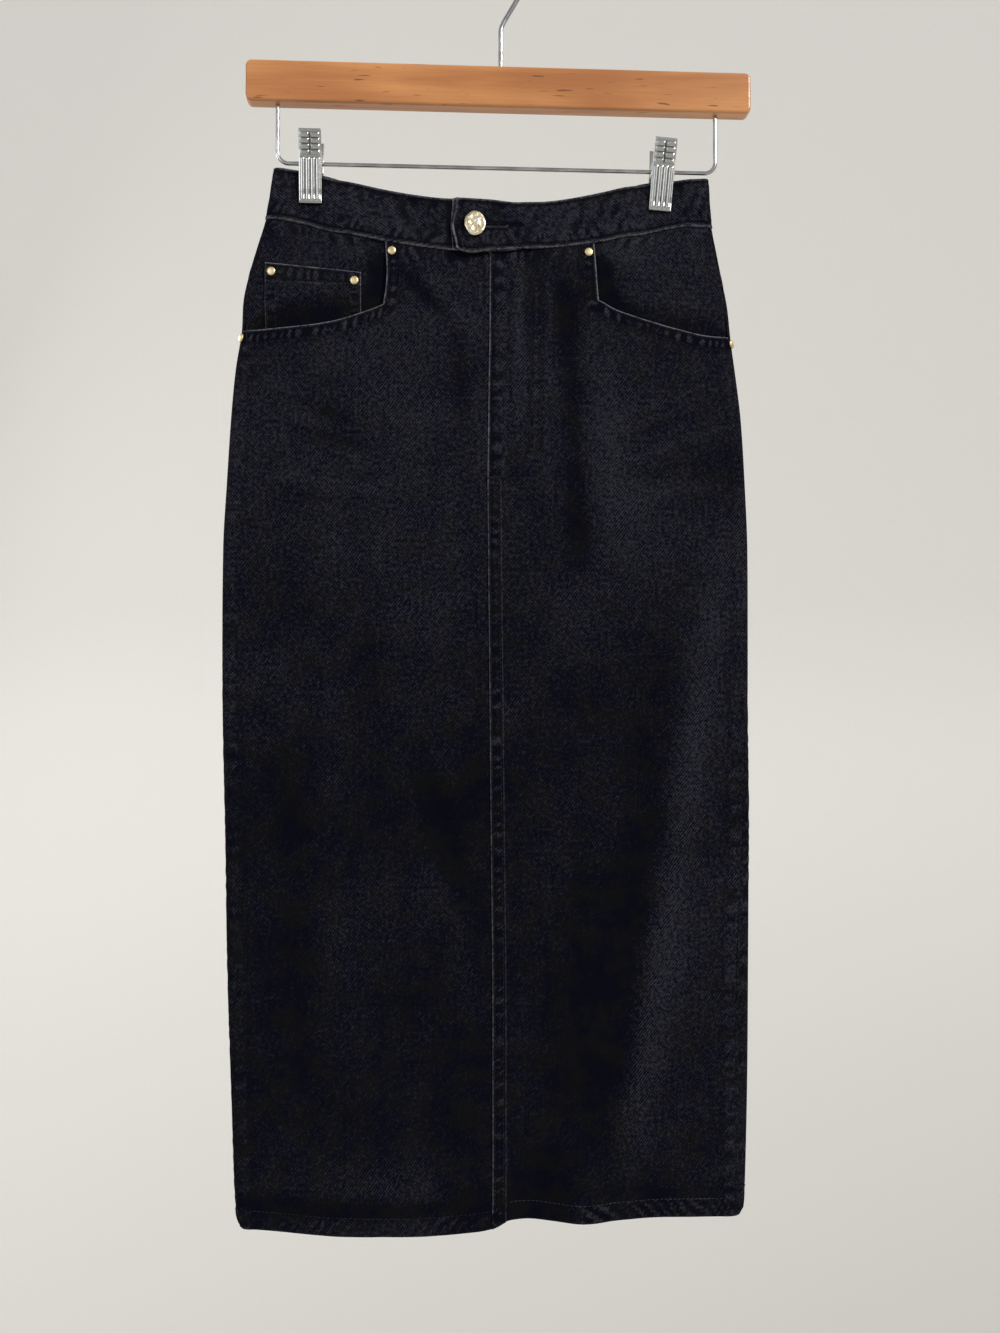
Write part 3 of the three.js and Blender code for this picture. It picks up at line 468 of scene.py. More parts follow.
class SkirtForm:
    """The hanging form of the skirt, which every piece of cloth lies on."""

    def __init__(self) -> None:
        """Draws the curves through the tables."""
        self.edge, self.inset, self.pocket_side, self.pocket_line = (
            {side: table.curve(side.label) for side in Side}
            for table in (SECTIONS, SIDE_INSETS, POCKET_SIDES, POCKET_LINES)
        )
        self.swell, self.hem = ({face: table.curve(face.label) for face in Face} for table in (SECTIONS, HEM))
        self.seam, self.fold = SECTIONS.curve("seam"), SECTIONS.curve("fold")
        self.waist_top, self.waist_seam = WAIST.curve("top"), WAIST.curve("seam")
        self.drape = {Face.FRONT: Ripples(11, 45, 190), Face.BACK: Ripples(12, 45, 190)}
        self.crumple = {Face.FRONT: Ripples(21, 13, 36, 20), Face.BACK: Ripples(22, 13, 36, 20)}

    def half(self, side: Side, z: Array) -> Half:
        """The skirt's half widths.

        Args:
            side: which half.
            z: heights.

        Returns:
            Its flat width, fold radius, length round the fold, and girth from front to back.
        """
        fold = self.fold(z)
        flat = side.value * (self.edge[side](z) - self.seam(z)) - fold
        return Half(flat, fold, math.pi * fold, 2 * flat + math.pi * fold)

    def clip_x(self, clip: ClipPlace, z: Array) -> Array:
        """Middle of a clip at a height."""
        return clip.x + (z - ROD_Z) * math.tan(clip.lean)

    def pinch(self, x: Array, z: Array) -> Array:
        """How fully the clips press the cloth flat.

        Args:
            x: places across the skirt.
            z: heights.

        Returns:
            From 0 for free to 1 for flat.
        """
        pressed = np.zeros(np.broadcast(x, z).shape)
        for clip in CLIPS:
            out = x - self.clip_x(clip, z)
            outer = 1 - smooth(np.abs(out), PINCH.flat, PINCH.outer)
            inner = 1 - smooth(np.abs(out), PINCH.flat, PINCH.inner)
            pressed = np.maximum(pressed, np.where(out * clip.x > 0, outer, inner))
        return pressed * smooth(z, PINCH.none, PINCH.full)

    def folds(self, face: Face, x: Array, z: Array, of: tuple[Fold, ...] = FOLDS + CREASES) -> Array:
        """How far the soft folds and creases move the cloth out.

        Args:
            face: front or back.
            x: places across the skirt.
            z: heights.
            of: the folds to count.

        Returns:
            The distance out.
        """
        total = np.zeros(np.broadcast(x, z).shape)
        for fold in of:
            if fold.face is not face:
                continue
            share = (z - fold.z0) / (fold.z1 - fold.z0)
            off = (x - lerp(fold.x0, fold.x1, share)) / fold.width
            if abs(fold.x1 - fold.x0) > abs(fold.z1 - fold.z0):
                off = (z - lerp(fold.z0, fold.z1, (x - fold.x0) / (fold.x1 - fold.x0))) / fold.width
                run = np.abs(x - (fold.x0 + fold.x1) / 2) / (abs(fold.x1 - fold.x0) / 2)
                ends = 1 - smooth(run, 0.55, 1.25)
            else:
                ends = smooth(fold.z0 - z, 0, fold.fade) * smooth(z - fold.z1, 0, fold.fade)
            total += fold.depth * ends * np.exp(-off * off)
        return total

    def stand_off(self, face: Face, side: Side, reach: Array, z: Array) -> Array:
        """Distance of the cloth from the skirt's mid plane.

        Args:
            face: front or back.
            side: which half.
            reach: distance out from the centre seam.
            z: height.

        Returns:
            How far the cloth stands off.
        """
        half = self.half(side, z)
        x = self.seam(z) + side.value * reach
        share = np.minimum(np.abs(reach / half.flat), 1.0)
        crown = (1 - share**4) ** 1.5
        soft = self.folds(face, x, z) + 0.55 * self.drape[face].at(x, z) + 0.075 * self.crumple[face].at(x, z)
        free = half.fold + self.swell[face](z) * crown + soft * (1 - share**8)
        return lerp(free, PINCH.depth, self.pinch(x, z))

    def around(self, side: Side, girth: Array, z: Array) -> tuple[Half, Array, Array, Array]:
        """Where a girth lies round the skirt.

        Args:
            side: which half.
            girth: distance round from the centre front seam.
            z: height.

        Returns:
            The half widths, whether it is on the side fold, its angle there, and how far out it is.
        """
        half = self.half(side, z)
        on_fold = (girth > half.flat) & (girth < half.flat + half.turn)
        angle = np.clip((girth - half.flat) / half.fold, 0, math.pi)
        flat = np.where(girth <= half.flat, girth, half.whole - girth)
        return half, on_fold, angle, np.where(on_fold, half.flat + half.fold * np.sin(angle), flat)

    def section(self, side: Side, girth: Array, z: Array) -> tuple[Array, Array, Array, Array]:
        """A point of the cloth seen from above.

        Args:
            side: which half.
            girth: distance round from the centre front seam.
            z: height.

        Returns:
            X and Y of the point, and X and Y of its outward normal.
        """
        girth, z = np.broadcast_arrays(np.asarray(girth, float), np.asarray(z, float))
        half, on_fold, angle, out_to = self.around(side, girth, z)
        front = girth <= half.flat
        reach = np.where(front, girth, half.whole - girth)
        off = {}
        for face in Face:
            near = self.stand_off(face, side, reach - 0.5, z)
            far = self.stand_off(face, side, reach + 0.5, z)
            off[face] = ((near + far) / 2, far - near)
        depth = np.where(front, off[Face.FRONT][0], off[Face.BACK][0])
        slope = np.where(front, off[Face.FRONT][1], off[Face.BACK][1])
        out = np.where(front, -1.0, 1.0)
        length = np.hypot(slope, 1.0)
        s = side.value
        x = self.seam(z) + s * out_to
        y = np.where(on_fold, -half.fold * np.cos(angle), out * depth)
        nx = np.where(on_fold, s * np.sin(angle), -s * slope / length)
        ny = np.where(on_fold, -np.cos(angle), out / length)
        return x, y, nx, ny

    def point(self, side: Side, girth: Array, z: Array, offset: Array) -> Array:
        """A point on the cloth moved out by an offset, with X, Y and Z in the last axis."""
        x, y, nx, ny = self.section(side, girth, z)
        z = np.broadcast_to(z, x.shape)
        return np.stack([x + nx * offset, y + ny * offset, z], axis=-1)

    def normal(self, side: Side, girth: Array, z: Array) -> Array:
        """Outward direction of the surface."""
        _, _, nx, ny = self.section(side, girth, z)
        return np.stack([nx, ny, 0 * nx], axis=-1)

    def x_at(self, side: Side, girth: Array, z: Array) -> Array:
        """X of a point of the cloth, without its folds."""
        return self.seam(z) + side.value * self.around(side, girth, z)[-1]

    def side_seam(self, side: Side, z: Array) -> Array:
        """Girth of the side seam."""
        half = self.half(side, z)
        inset = self.inset[side](z)
        round_ = half.flat + half.fold * np.arcsin(np.clip(1 - inset / half.fold, -1, 1))
        return np.where(inset < half.fold, round_, half.flat + half.fold - inset)

    def on_back(self, side: Side, girth: Array, z: Array) -> Array:
        """Whether a girth is past the middle of the side fold."""
        half = self.half(side, z)
        return girth > half.flat + half.turn / 2

    def back_rise(self, side: Side, girth: Array, z: Array) -> Array:
        """How much less the back of the waist dips than the front.

        Args:
            side: which half.
            girth: distance round from the centre front seam.
            z: height.

        Returns:
            The rise, or 0 on the front.
        """
        half = self.half(side, z)
        share = np.clip(np.abs((half.whole - girth) / half.flat), 0, 1)
        return np.where(self.on_back(side, girth, z), BACK_RISE * (1 - share**4) ** 1.5, 0.0)

    def top_height(self, side: Side, girth: Array) -> Array:
        """Height of the waistband's top edge."""
        z = np.full_like(girth, -180.0)
        return self.waist_top(self.x_at(side, girth, z)) + self.back_rise(side, girth, z)

    def seam_height(self, side: Side, girth: Array) -> Array:
        """Height of the seam below the waistband."""
        z = np.full_like(girth, -212.0)
        return self.waist_seam(self.x_at(side, girth, z)) + self.back_rise(side, girth, z)

    def hem_height(self, side: Side, girth: Array) -> Array:
        """Height of the hem's bottom edge.

        Args:
            side: which half.
            girth: distance round from the centre front seam.

        Returns:
            The height, rounded up into the side folds.
        """
        z = np.full_like(girth, -915.0)
        x = self.x_at(side, girth, z)
        inside = np.minimum(x - self.edge[Side.LEFT](z), self.edge[Side.RIGHT](z) - x)
        lift = HEM_CORNER * np.clip(1 - inside / HEM_CORNER, 0, 1) ** 2.4
        back = self.on_back(side, girth, z)
        return np.where(back, self.hem[Face.BACK](x), self.hem[Face.FRONT](x)) + lift

    def yoke_line(self, side: Side, girth: Array) -> Array:
        """Height of the seam below the back yoke."""
        half = self.half(side, np.full_like(girth, -250.0))
        share = np.clip((half.whole - girth) / half.flat, 0, 1)
        return lerp(YOKE_CENTRE, YOKE_SIDE, share)

    def facing_offset(self, side: Side, girth: Array, z: Array) -> Array:
        """How far a pocket facing lies inside the cloth's line.

        Args:
            side: which half.
            girth: distance round from the centre front seam.
            z: height.

        Returns:
            Its offset, less than 0.
        """
        beside = 1 - smooth(girth - self.pocket_side[side](z), 0, 24)
        above = 1 - smooth(z - self.pocket_line[side](girth), 0, 22)
        gape = 1 - (1 - beside) * (1 - above)
        below = smooth(self.seam_height(side, girth) - z, 0, 26)
        inward = smooth(self.side_seam(side, z) - girth, 0, 13)
        return -0.4 - FACING_SINK * gape * lerp(FACING_SEWN, 1, below) * lerp(FACING_SEWN, 1, inward)

    def tab_lift(self, girth: Array, z: Array) -> Array:
        """How far the waistband's overlap lies outside the layer below it."""
        x = self.seam(z) + girth
        return TAB_LIFT * (1 - smooth(x, UNDERLAP_END + 1.5, TAB_SETTLES))


EDGE_LINES = (0.0, 0.14, 0.42, 0.9)
CREASE_LINES = (-0.55, 0.0, 0.55)


@dataclass
class Spans:
    """Lines of a grid, laid between a few guides that bend with the cloth.

    The lengths are about the distances between the guides, and creases are distances from the
    first guide where the lines lie closer.
    """

    guides: Sequence[Guide]
    lengths: Sequence[float]
    step: float
    creases: Sequence[float] = ()
    knots: Array = field(init=False)
    marks: Array = field(init=False)

    def __post_init__(self) -> None:
        """Works out the distance of each guide and each line from the first guide."""
        knots = self.knots = np.concatenate([[0.0], np.cumsum(self.lengths)])
        close = [k + side * e for k in knots for e in EDGE_LINES for side in (-1, 1)]
        close += [crease + off for crease in self.creases for off in CREASE_LINES]
        close = np.unique(np.round([c for c in close if 0 <= c <= knots[-1]], 3))
        even = np.concatenate(
            [np.linspace(a, b, max(2, math.ceil((b - a) / self.step) + 1)) for a, b in zip(knots, knots[1:])]
        )
        free = [p for p in np.unique(np.round(even, 3)) if np.abs(close - p).min() > 0.45 * self.step]
        self.marks = np.unique(np.concatenate([close, free]))

    def lay(self, at: Array, down: bool) -> Array:
        """Places the lines.

        Args:
            at: the other coordinate at each crossing of the grid.
            down: whether these are the grid's rows, and not its columns.

        Returns:
            This coordinate at each crossing.
        """
        span = np.clip(np.searchsorted(self.knots, self.marks, side="right") - 1, 0, len(self.lengths) - 1)
        share = (self.marks - self.knots[span]) / np.asarray(self.lengths)[span]
        values = np.stack([guide(at) for guide in self.guides])
        lines = np.arange(len(self.marks))
        if down:
            low, high = values[span, lines, :], values[span + 1, lines, :]
            return lerp(low, high, share[:, None])
        low, high = values[span, :, lines].T, values[span + 1, :, lines].T
        return lerp(low, high, share[None, :])


@dataclass
class Cloth:
    """A piece of cloth on its grid, before it becomes a mesh."""

    form: SkirtForm
    side: Side
    columns: Spans
    rows: Spans
    girth: Array = field(init=False)
    z: Array = field(init=False)
    p: Array = field(init=False)
    q: Array = field(init=False)
    outer: Array = field(init=False)
    inner: Array = field(init=False)
    wear: Array = field(init=False)
    pucker: Array = field(init=False)
    # fade: change of tone, part wash paling and part painted shade and painted highlights
    fade: Array = field(init=False)
    present: Array = field(init=False)

    def __post_init__(self) -> None:
        """Settles the grid, whose rows bend with its columns and the other way round."""
        shape = (len(self.rows.marks), len(self.columns.marks))
        self.z = np.full(shape, -300.0)
        for _ in range(6):
            self.girth = self.columns.lay(self.z, down=False)
            self.z = self.rows.lay(self.girth, down=True)
        self.p = np.broadcast_to(self.columns.marks[None, :], shape)
        self.q = np.broadcast_to(self.rows.marks[:, None], shape)
        self.outer = np.zeros(shape)
        self.inner = np.full(shape, -DENIM)
        self.wear = np.zeros(shape)
        self.pucker = np.zeros(shape)
        self.fade = np.zeros(shape)
        self.present = np.ones((shape[0] - 1, shape[1] - 1), bool)

    @staticmethod
    def middle(values: Array) -> Array:
        """Values at the middle of each cell of the grid."""
        return (values[:-1, :-1] + values[1:, 1:]) / 2

    @property
    def to_end(self) -> tuple[Array, Array]:
        """Distances to the last column and to the last row."""
        return self.columns.marks[-1] - self.p, self.rows.marks[-1] - self.q

    @property
    def margin(self) -> Array:
        """Distance from the nearest edge of the grid."""
        inside, below = self.to_end
        return np.minimum(np.minimum(self.p, inside), np.minimum(self.q, below))

    def groove(self, off: Array, where: Any = 1.0, depth: float = 0.24) -> None:
        """Sinks the cloth under a row of stitches, off being the distance from the row."""
        self.outer -= depth * where * ridge(off, 0.0, 0.55)

    def turn_hem(self, low: float, height: float, seed: int, where: float = 1.0, boost: float = 1.0) -> None:
        """Thickens the turned hem, puckers it and sinks its row.

        Args:
            low: where the puckers start.
            height: how far they stand out.
            seed: of their unevenness.
            where: their strength.
            boost: how much more than they stand out they change the tone.
        """
        below = self.to_end[1]
        self.inner = np.where(below < HEM_TURN + 0.5, -HEM_THICK, -DENIM)
        self.gather(below, self.p, (low, HEM_TURN - 0.6), 10.5, height, seed, 1.1, where, boost)
        self.groove(below - HEM_ROW)

    def gather(self, across: Array, run: Array, band: tuple[float, float], pitch: float,
               height: float, seed: int, slant: float = 0.0, where: Any = 1.0, boost: float = 1.0) -> None:
        """Puckers a band between rows of stitches.

        Args:
            across: distance from the edge.
            run: distance along it.
            band: where the puckers start and end.
            pitch: from one to the next.
            height: how far they stand out.
            seed: of their unevenness.
            slant: how much they lean along the edge.
            where: strength over the cloth.
            boost: how much more than they stand out they change the tone.
        """
        low, high = band
        window = smooth(across, low, low + 1.4) * (1 - smooth(across, high - 1.4, high)) * where
        wander = Ripples(seed, 2.2 * pitch, 7 * pitch, 8)
        phase = 2 * math.pi * (run + slant * across) / pitch + 2.0 * wander.at(run, 0.3 * across)
        strength = np.clip(0.70 + 0.60 * wander.at(run + 300.0, 0 * across), 0.1, 1.4)
        wave = np.sin(phase) * strength * window
        self.pucker += boost * wave
        self.outer += height * wave

    def relief(self, strength: float) -> Array:
        """How much the folds are painted paler on their ridges and darker in their troughs: painted highlight
        and painted shade, with some rubbed wear on the whisker creases.

        Args:
            strength: of the change in tone.

        Returns:
            The change at each point.
        """
        x = self.form.x_at(self.side, self.girth, self.z)
        back = self.form.on_back(self.side, self.girth, self.z)
        faces = (Face.BACK, Face.FRONT)
        soft = np.where(back, *(self.form.folds(face, x, self.z) for face in faces))
        fine = np.where(back, *(self.form.folds(face, x, self.z, WHISKERS) for face in faces))
        tone = np.clip(soft, -2.2, 1.8) + 0.9 * np.clip(fine, -0.6, 0.6)
        return strength * tone * (1 - self.form.pinch(x, self.z))

    def round_edges(self, margin: Array, radius: float = 0.6) -> None:
        """Rounds the cloth's edges.

        Args:
            margin: distance from the nearest one.
            radius: how far in the rounding starts.
        """
        near = np.clip(1 - margin / radius, 0, 1)
        drop = 1 - np.sqrt(np.clip(1 - near**2, 0, 1))
        thick = self.outer - self.inner
        self.outer -= drop * np.minimum(0.42 * thick, 0.7)
        self.inner += drop * np.minimum(0.3 * thick, 0.5)

    def flat_cut(self) -> tuple[float, float, float]:
        """Width, length and area of the flat piece, in metres."""
        wide = np.abs(np.diff(self.girth, axis=1))
        tall = np.abs(np.diff(self.z, axis=0))
        area = ((wide[:-1] + wide[1:]) / 2 * (tall[:, :-1] + tall[:, 1:]) / 2)[self.present].sum()
        width = self.girth.max() - self.girth.min()
        length = self.z.max() - self.z.min()
        return width * MM, length * MM, area * MM * MM

    def mesh(self, name: str) -> Piece:
        """Makes the closed wall of cloth.

        Args:
            name: of the piece.

        Returns:
            Its object, with the attributes that the finishes read.
        """
        outer = self.form.point(self.side, self.girth, self.z, self.outer)
        inner = self.form.point(self.side, self.girth, self.z, self.inner)
        seat = np.stack([self.side.value * self.girth, self.z, 0 * self.z], axis=-1)
        marks = {"wear": self.wear, "pucker": self.pucker, "fade": self.fade}
        return wall(name, outer, inner, self.present, seat, marks)


def add_object(name: str, points: Array, faces: Sequence[Sequence[int]] | Array) -> Piece:
    """Makes a smooth mesh object.

    Args:
        name: of the object.
        points: in millimetres.
        faces: corner numbers.

    Returns:
        The linked object, in metres.
    """
    mesh = bpy.data.meshes.new(name)
    rows = faces.tolist() if isinstance(faces, np.ndarray) else faces
    mesh.from_pydata((np.asarray(points) * MM).tolist(), [], rows)
    mesh.polygons.foreach_set("use_smooth", [True] * len(mesh.polygons))
    mesh.update()
    made = bpy.data.objects.new(name, mesh)
    bpy.context.scene.collection.objects.link(made)
    return made


def wall(name: str, outer: Array, inner: Array, present: Array, seat: Array,
         marks: dict[str, Array]) -> Piece:
    """Makes a closed wall between two layers of a grid.

    Args:
        name: of the object.
        outer: points of the outer layer.
        inner: points of the inner layer.
        present: which cells there are.
        seat: place of each point in the flat cloth.
        marks: values that the finish reads at each point.

    Returns:
        The object.
    """
    rows, columns = outer.shape[:2]
    count = rows * columns
    index = np.arange(count).reshape(rows, columns)
    i, j = np.nonzero(present)
    ring = [index[i, j], index[i, j + 1], index[i + 1, j + 1], index[i + 1, j]]
    faces = [np.stack(ring, axis=1), np.stack(ring[::-1], axis=1) + count]
    around = np.pad(present, 1)
    for k, (down, right) in enumerate(((-1, 0), (0, 1), (1, 0), (0, -1))):
        bare = ~around[i + 1 + down, j + 1 + right]
        a, b = ring[k][bare], ring[(k + 1) % 4][bare]
        faces.append(np.stack([b, a, a + count, b + count], axis=1))
    quads = np.concatenate(faces)
    points = np.concatenate([outer.reshape(-1, 3), inner.reshape(-1, 3)])
    corners = points[quads]
    crossed = np.cross(corners[:, 1] - corners[:, 0], corners[:, 2] - corners[:, 0])
    other = np.cross(corners[:, 2] - corners[:, 0], corners[:, 3] - corners[:, 0])
    volume = np.einsum("ij,ij->i", corners[:, 0], crossed + other).sum()
    if volume < 0:
        quads = quads[:, ::-1]
    used, quads = np.unique(quads, return_inverse=True)
    quads = quads.reshape(-1, 4)
    made = add_object(name, points[used], quads)
    mesh = made.data
    twice = np.concatenate([seat.reshape(-1, 3), seat.reshape(-1, 3) + (0.0, 0.0, 5.0)])[used]
    mesh.attributes.new("cloth", "FLOAT_VECTOR", "POINT").data.foreach_set("vector", twice.ravel())
    for key, value in marks.items():
        both = np.concatenate([value.ravel(), value.ravel()])[used]
        mesh.attributes.new(key, "FLOAT", "POINT").data.foreach_set("value", both)
    layer = mesh.uv_layers.new(name="cut")
    layer.data.foreach_set("uv", (twice[quads.ravel(), :2] * MM).ravel())
    return made


class Shade:
    """A shader socket on which arithmetic can be written."""

    def __init__(self, recipe: Recipe, socket: bpy.types.NodeSocket) -> None:
        """Wraps a node's output."""
        self.recipe, self.socket = recipe, socket

    def math(self, operation: str, *values: Any) -> Shade:
        """A Math node on some values."""
        return self.recipe.node("ShaderNodeMath", {"operation": operation}, dict(enumerate(values)))

    def __add__(self, other: Any) -> Shade:
        """This value and another."""
        return self.math("ADD", self, other)

    def __sub__(self, other: Any) -> Shade:
        """This value less another."""
        return self.math("SUBTRACT", self, other)

    def __rsub__(self, other: Any) -> Shade:
        """Another value less this."""
        return self.math("SUBTRACT", other, self)

    def __mul__(self, other: Any) -> Shade:
        """This value times another."""
        return self.math("MULTIPLY", self, other)

    __radd__, __rmul__ = __add__, __mul__

    def sine(self) -> Shade:
        """Its sine."""
        return self.math("SINE", self)

    def step(self, low: float, high: float) -> Shade:
        """Smooth step from 0 at low to 1 at high."""
        sockets = {"Value": self, "From Min": low, "From Max": high}
        return self.recipe.node("ShaderNodeMapRange", {"interpolation_type": "SMOOTHSTEP"}, sockets)


class Recipe:
    """A material that is being made."""

    def __init__(self, name: str) -> None:
        """Starts a material without nodes."""
        self.material = bpy.data.materials.new(name)
        self.material.use_nodes = True
        self.tree = self.material.node_tree
        self.tree.nodes.clear()

    def node(self, kind: str, settings: Sockets, sockets: Sockets, output: Any = 0) -> Shade:
        """Adds a node.

        Args:
            kind: its type.
            settings: its properties, set first.
            sockets: values or links of its inputs, by name or number.
            output: name or number of the output that is wanted.

        Returns:
            That output.
        """
        node = self.tree.nodes.new(kind)
        for key, value in settings.items():
            setattr(node, key, value)
        for key, value in sockets.items():
            if isinstance(value, Shade):
                self.tree.links.new(value.socket, node.inputs[key])
            elif node.inputs[key].type == "RGBA":
                node.inputs[key].default_value = (*value, 1.0)
            else:
                node.inputs[key].default_value = value
        return Shade(self, node.outputs[output] if node.outputs else node)

    def attribute(self, name: str, output: str = "Fac") -> Shade:
        """A value stored in the mesh."""
        return self.node("ShaderNodeAttribute", {"attribute_name": name}, {}, output)

    def place(self) -> Shade:
        """Place in the object's own space, in metres."""
        return self.node("ShaderNodeTexCoord", {}, {}, "Object")

    def scaled(self, vector: Shade, scale: Triple, turn: float = 0.0) -> Shade:
        """A vector turned about Z and scaled."""
        sockets = {"Vector": vector, "Scale": scale, "Rotation": (0.0, 0.0, turn)}
        return self.node("ShaderNodeMapping", {}, sockets)

    def axis(self, vector: Shade, name: str) -> Shade:
        """One axis of a vector."""
        return self.node("ShaderNodeSeparateXYZ", {}, {0: vector}, name)

    def noise(self, vector: Shade, scale: float, detail: float = 2.0, rough: float = 0.5,
              bent: float = 0.0) -> Shade:
        """Smooth noise, about 0.5 in the middle."""
        sockets = {"Vector": vector, "Scale": scale, "Detail": detail, "Roughness": rough, "Distortion": bent}
        return self.node("ShaderNodeTexNoise", {}, sockets)

    def mix(self, share: Any, low: Any, high: Any) -> Shade:
        """A colour between two others."""
        return self.node("ShaderNodeMix", {"data_type": "RGBA"}, {0: share, 6: low, 7: high}, 2)

    def bump(self, height: Shade, strength: float, distance: float) -> Shade:
        """A normal bent by a height in metres."""
        sockets = {"Height": height, "Strength": strength, "Distance": distance}
        return self.node("ShaderNodeBump", {}, sockets, "Normal")


@dataclass(frozen=True)
class Finish:
    """A procedural material."""

    name: str

    def sockets(self, r: Recipe) -> Sockets:
        """What feeds the shader.

        Args:
            r: the recipe of the material, which makes its nodes.

        Returns:
            A value or a link for each of the shader's sockets, by name.
        """
        raise NotImplementedError

    def make(self) -> bpy.types.Material:
        """Makes the material."""
        recipe = Recipe(self.name)
        shader = recipe.node("ShaderNodeBsdfPrincipled", {}, self.sockets(recipe), "BSDF")
        recipe.node("ShaderNodeOutputMaterial", {}, {"Surface": shader})
        return recipe.material


@dataclass(frozen=True)
class DenimFinish(Finish):
    """Washed black denim: a diagonal twill, paler on worn edges and on puckers."""

    navy: Colour = (0.0010, 0.0011, 0.0046)
    black: Colour = (0.0026, 0.0028, 0.0038)
    weft: Colour = (0.0235, 0.0237, 0.0340)
    worn: Colour = (0.150, 0.150, 0.172)
    lift: float = 0.0
    mottled: float = 0.32
    blotchy: float = 0.46
    lean: tuple[float, float] = (0.8, -0.6)
    twill_pitch: float = 1.7

    def sockets(self, r: Recipe) -> Sockets:
        """Twill, grain, wash marks, wear, and the painted shade and painted highlights that the fade
        attribute carries, by the flat cloth's millimetres.
        """
        cloth = r.attribute("cloth", "Vector")
        wear, pucker, fade = (r.attribute(name) for name in ("wear", "pucker", "fade"))
        across, along = r.axis(cloth, "X"), r.axis(cloth, "Y")
        turns = (across * self.lean[0] + along * self.lean[1]) * (2 * math.pi / self.twill_pitch)
        twill = (turns + r.noise(cloth, 0.16, 2.0) * 6.0).sine() * 0.5
        grain = r.noise(cloth, 0.40, 3.0, 0.72) - 0.5
        slant = r.noise(r.scaled(cloth, (1.0, 0.16, 1.0), -0.64), 0.55, 3.0, 0.7) - 0.5
        warp = r.noise(r.scaled(cloth, (1.0, 0.13, 1.0)), 0.6, 3.0, 0.7) - 0.5
        cross = r.noise(r.scaled(cloth, (0.13, 1.0, 1.0)), 0.6, 3.0, 0.7) - 0.5
        streak = r.noise(r.scaled(cloth, (1.0, 0.10, 1.0)), 0.13, 3.0, 0.6) - 0.5
        blotch = r.noise(cloth, 0.06, 4.0, 0.7) - 0.5
        cloud = r.noise(cloth, 0.012, 2.0, 0.55) - 0.5
        mottle = r.noise(cloth, 0.19, 3.0, 0.6) - 0.5
        fine = grain * 3.1 + slant * 0.70 + warp * 0.22 + cross * 0.15 + twill * 0.62
        broad = streak * 0.14 + blotch * self.blotchy + cloud * 0.7 + mottle * self.mottled
        # fade brings the pieces' wash paling together with their painted shade and painted highlights.
        broad = broad + pucker * 0.46 + fade
        pale = (fine * (broad * 1.2 + 1.0) + broad + (0.14 + self.lift)).step(-0.12, 1.20)
        tint = r.noise(cloth, 0.047, 2.0, 0.6).step(0.42, 0.60)
        base = r.mix(pale, r.mix(tint, self.navy, self.black), self.weft)
        patchy = r.noise(cloth, 0.11, 3.0, 0.7).step(0.34, 0.66)
        rubbed = wear * (patchy * 0.45 + grain * 1.5 + pucker * 0.20 + 0.52)
        return {
            "Base Color": r.mix(rubbed.step(0.04, 1.0) * 0.9, base, self.worn),
            "Roughness": 0.95,
            "Specular IOR Level": 0.07,
            "Normal": r.bump(twill * 0.5 + grain * 1.6 + warp * 0.9 + slant * 0.9, 0.7, 0.00034),
        }


@dataclass(frozen=True)
class ThreadFinish(Finish):
    """Twisted sewing thread."""

    colour: Colour = (0.0040, 0.0042, 0.0070)
    pale: Colour = (0.020, 0.021, 0.028)

    def sockets(self, r: Recipe) -> Sockets:
        """Paler patches, and the thread's plies."""
        patch, ply = r.noise(r.place(), 90.0), r.noise(r.place(), 2600.0)
        return {
            "Base Color": r.mix((patch * 0.8 + ply * 0.4).step(0.45, 0.95), self.colour, self.pale),
            "Roughness": 0.75,
            "Specular IOR Level": 0.15,
            "Normal": r.bump(ply, 0.5, 0.0001),
        }


@dataclass(frozen=True)
class GoldFinish(Finish):
    """Pale polished gold with fine rubbing."""

    colour: Colour
    dull: Colour
    scale: float
    rough: float

    def sockets(self, r: Recipe) -> Sockets:
        """Clouded gold that is rubbed duller in places."""
        rub = r.noise(r.place(), self.scale, 4.0, 0.6)
        cloud = r.noise(r.place(), self.scale / 4)
        return {
            "Base Color": r.mix((cloud * 0.6 + rub * 0.5).step(0.35, 0.8), self.dull, self.colour),
            "Metallic": 1.0,
            "Roughness": rub * 0.22 + self.rough,
            "Normal": r.bump(rub, 0.25, 0.00008),
        }


@dataclass(frozen=True)
class ChromeFinish(Finish):
    """Bright plated steel, drawn or pressed, with painted shade in its hollows."""

    colour: Colour = (0.60, 0.60, 0.59)
    dull: Colour = (0.40, 0.40, 0.40)
    rough: float = 0.14
    grain: float = 0.12
    soot: Colour = (0.045, 0.044, 0.042)

    def sockets(self, r: Recipe) -> Sockets:
        """Clouded plate, with painted shade where the mesh marks hollows."""
        rub = r.noise(r.place(), 420.0, 4.0, 0.6)
        plate = r.mix(r.noise(r.place(), 60.0, 3.0).step(0.35, 0.7), self.dull, self.colour)
        return {
            "Base Color": r.mix(r.attribute("hollow") * 0.82, plate, self.soot),
            "Metallic": 1.0,
            "Roughness": rub * 0.16 + self.rough,
            "Normal": r.bump(rub, self.grain, 0.00005),
        }


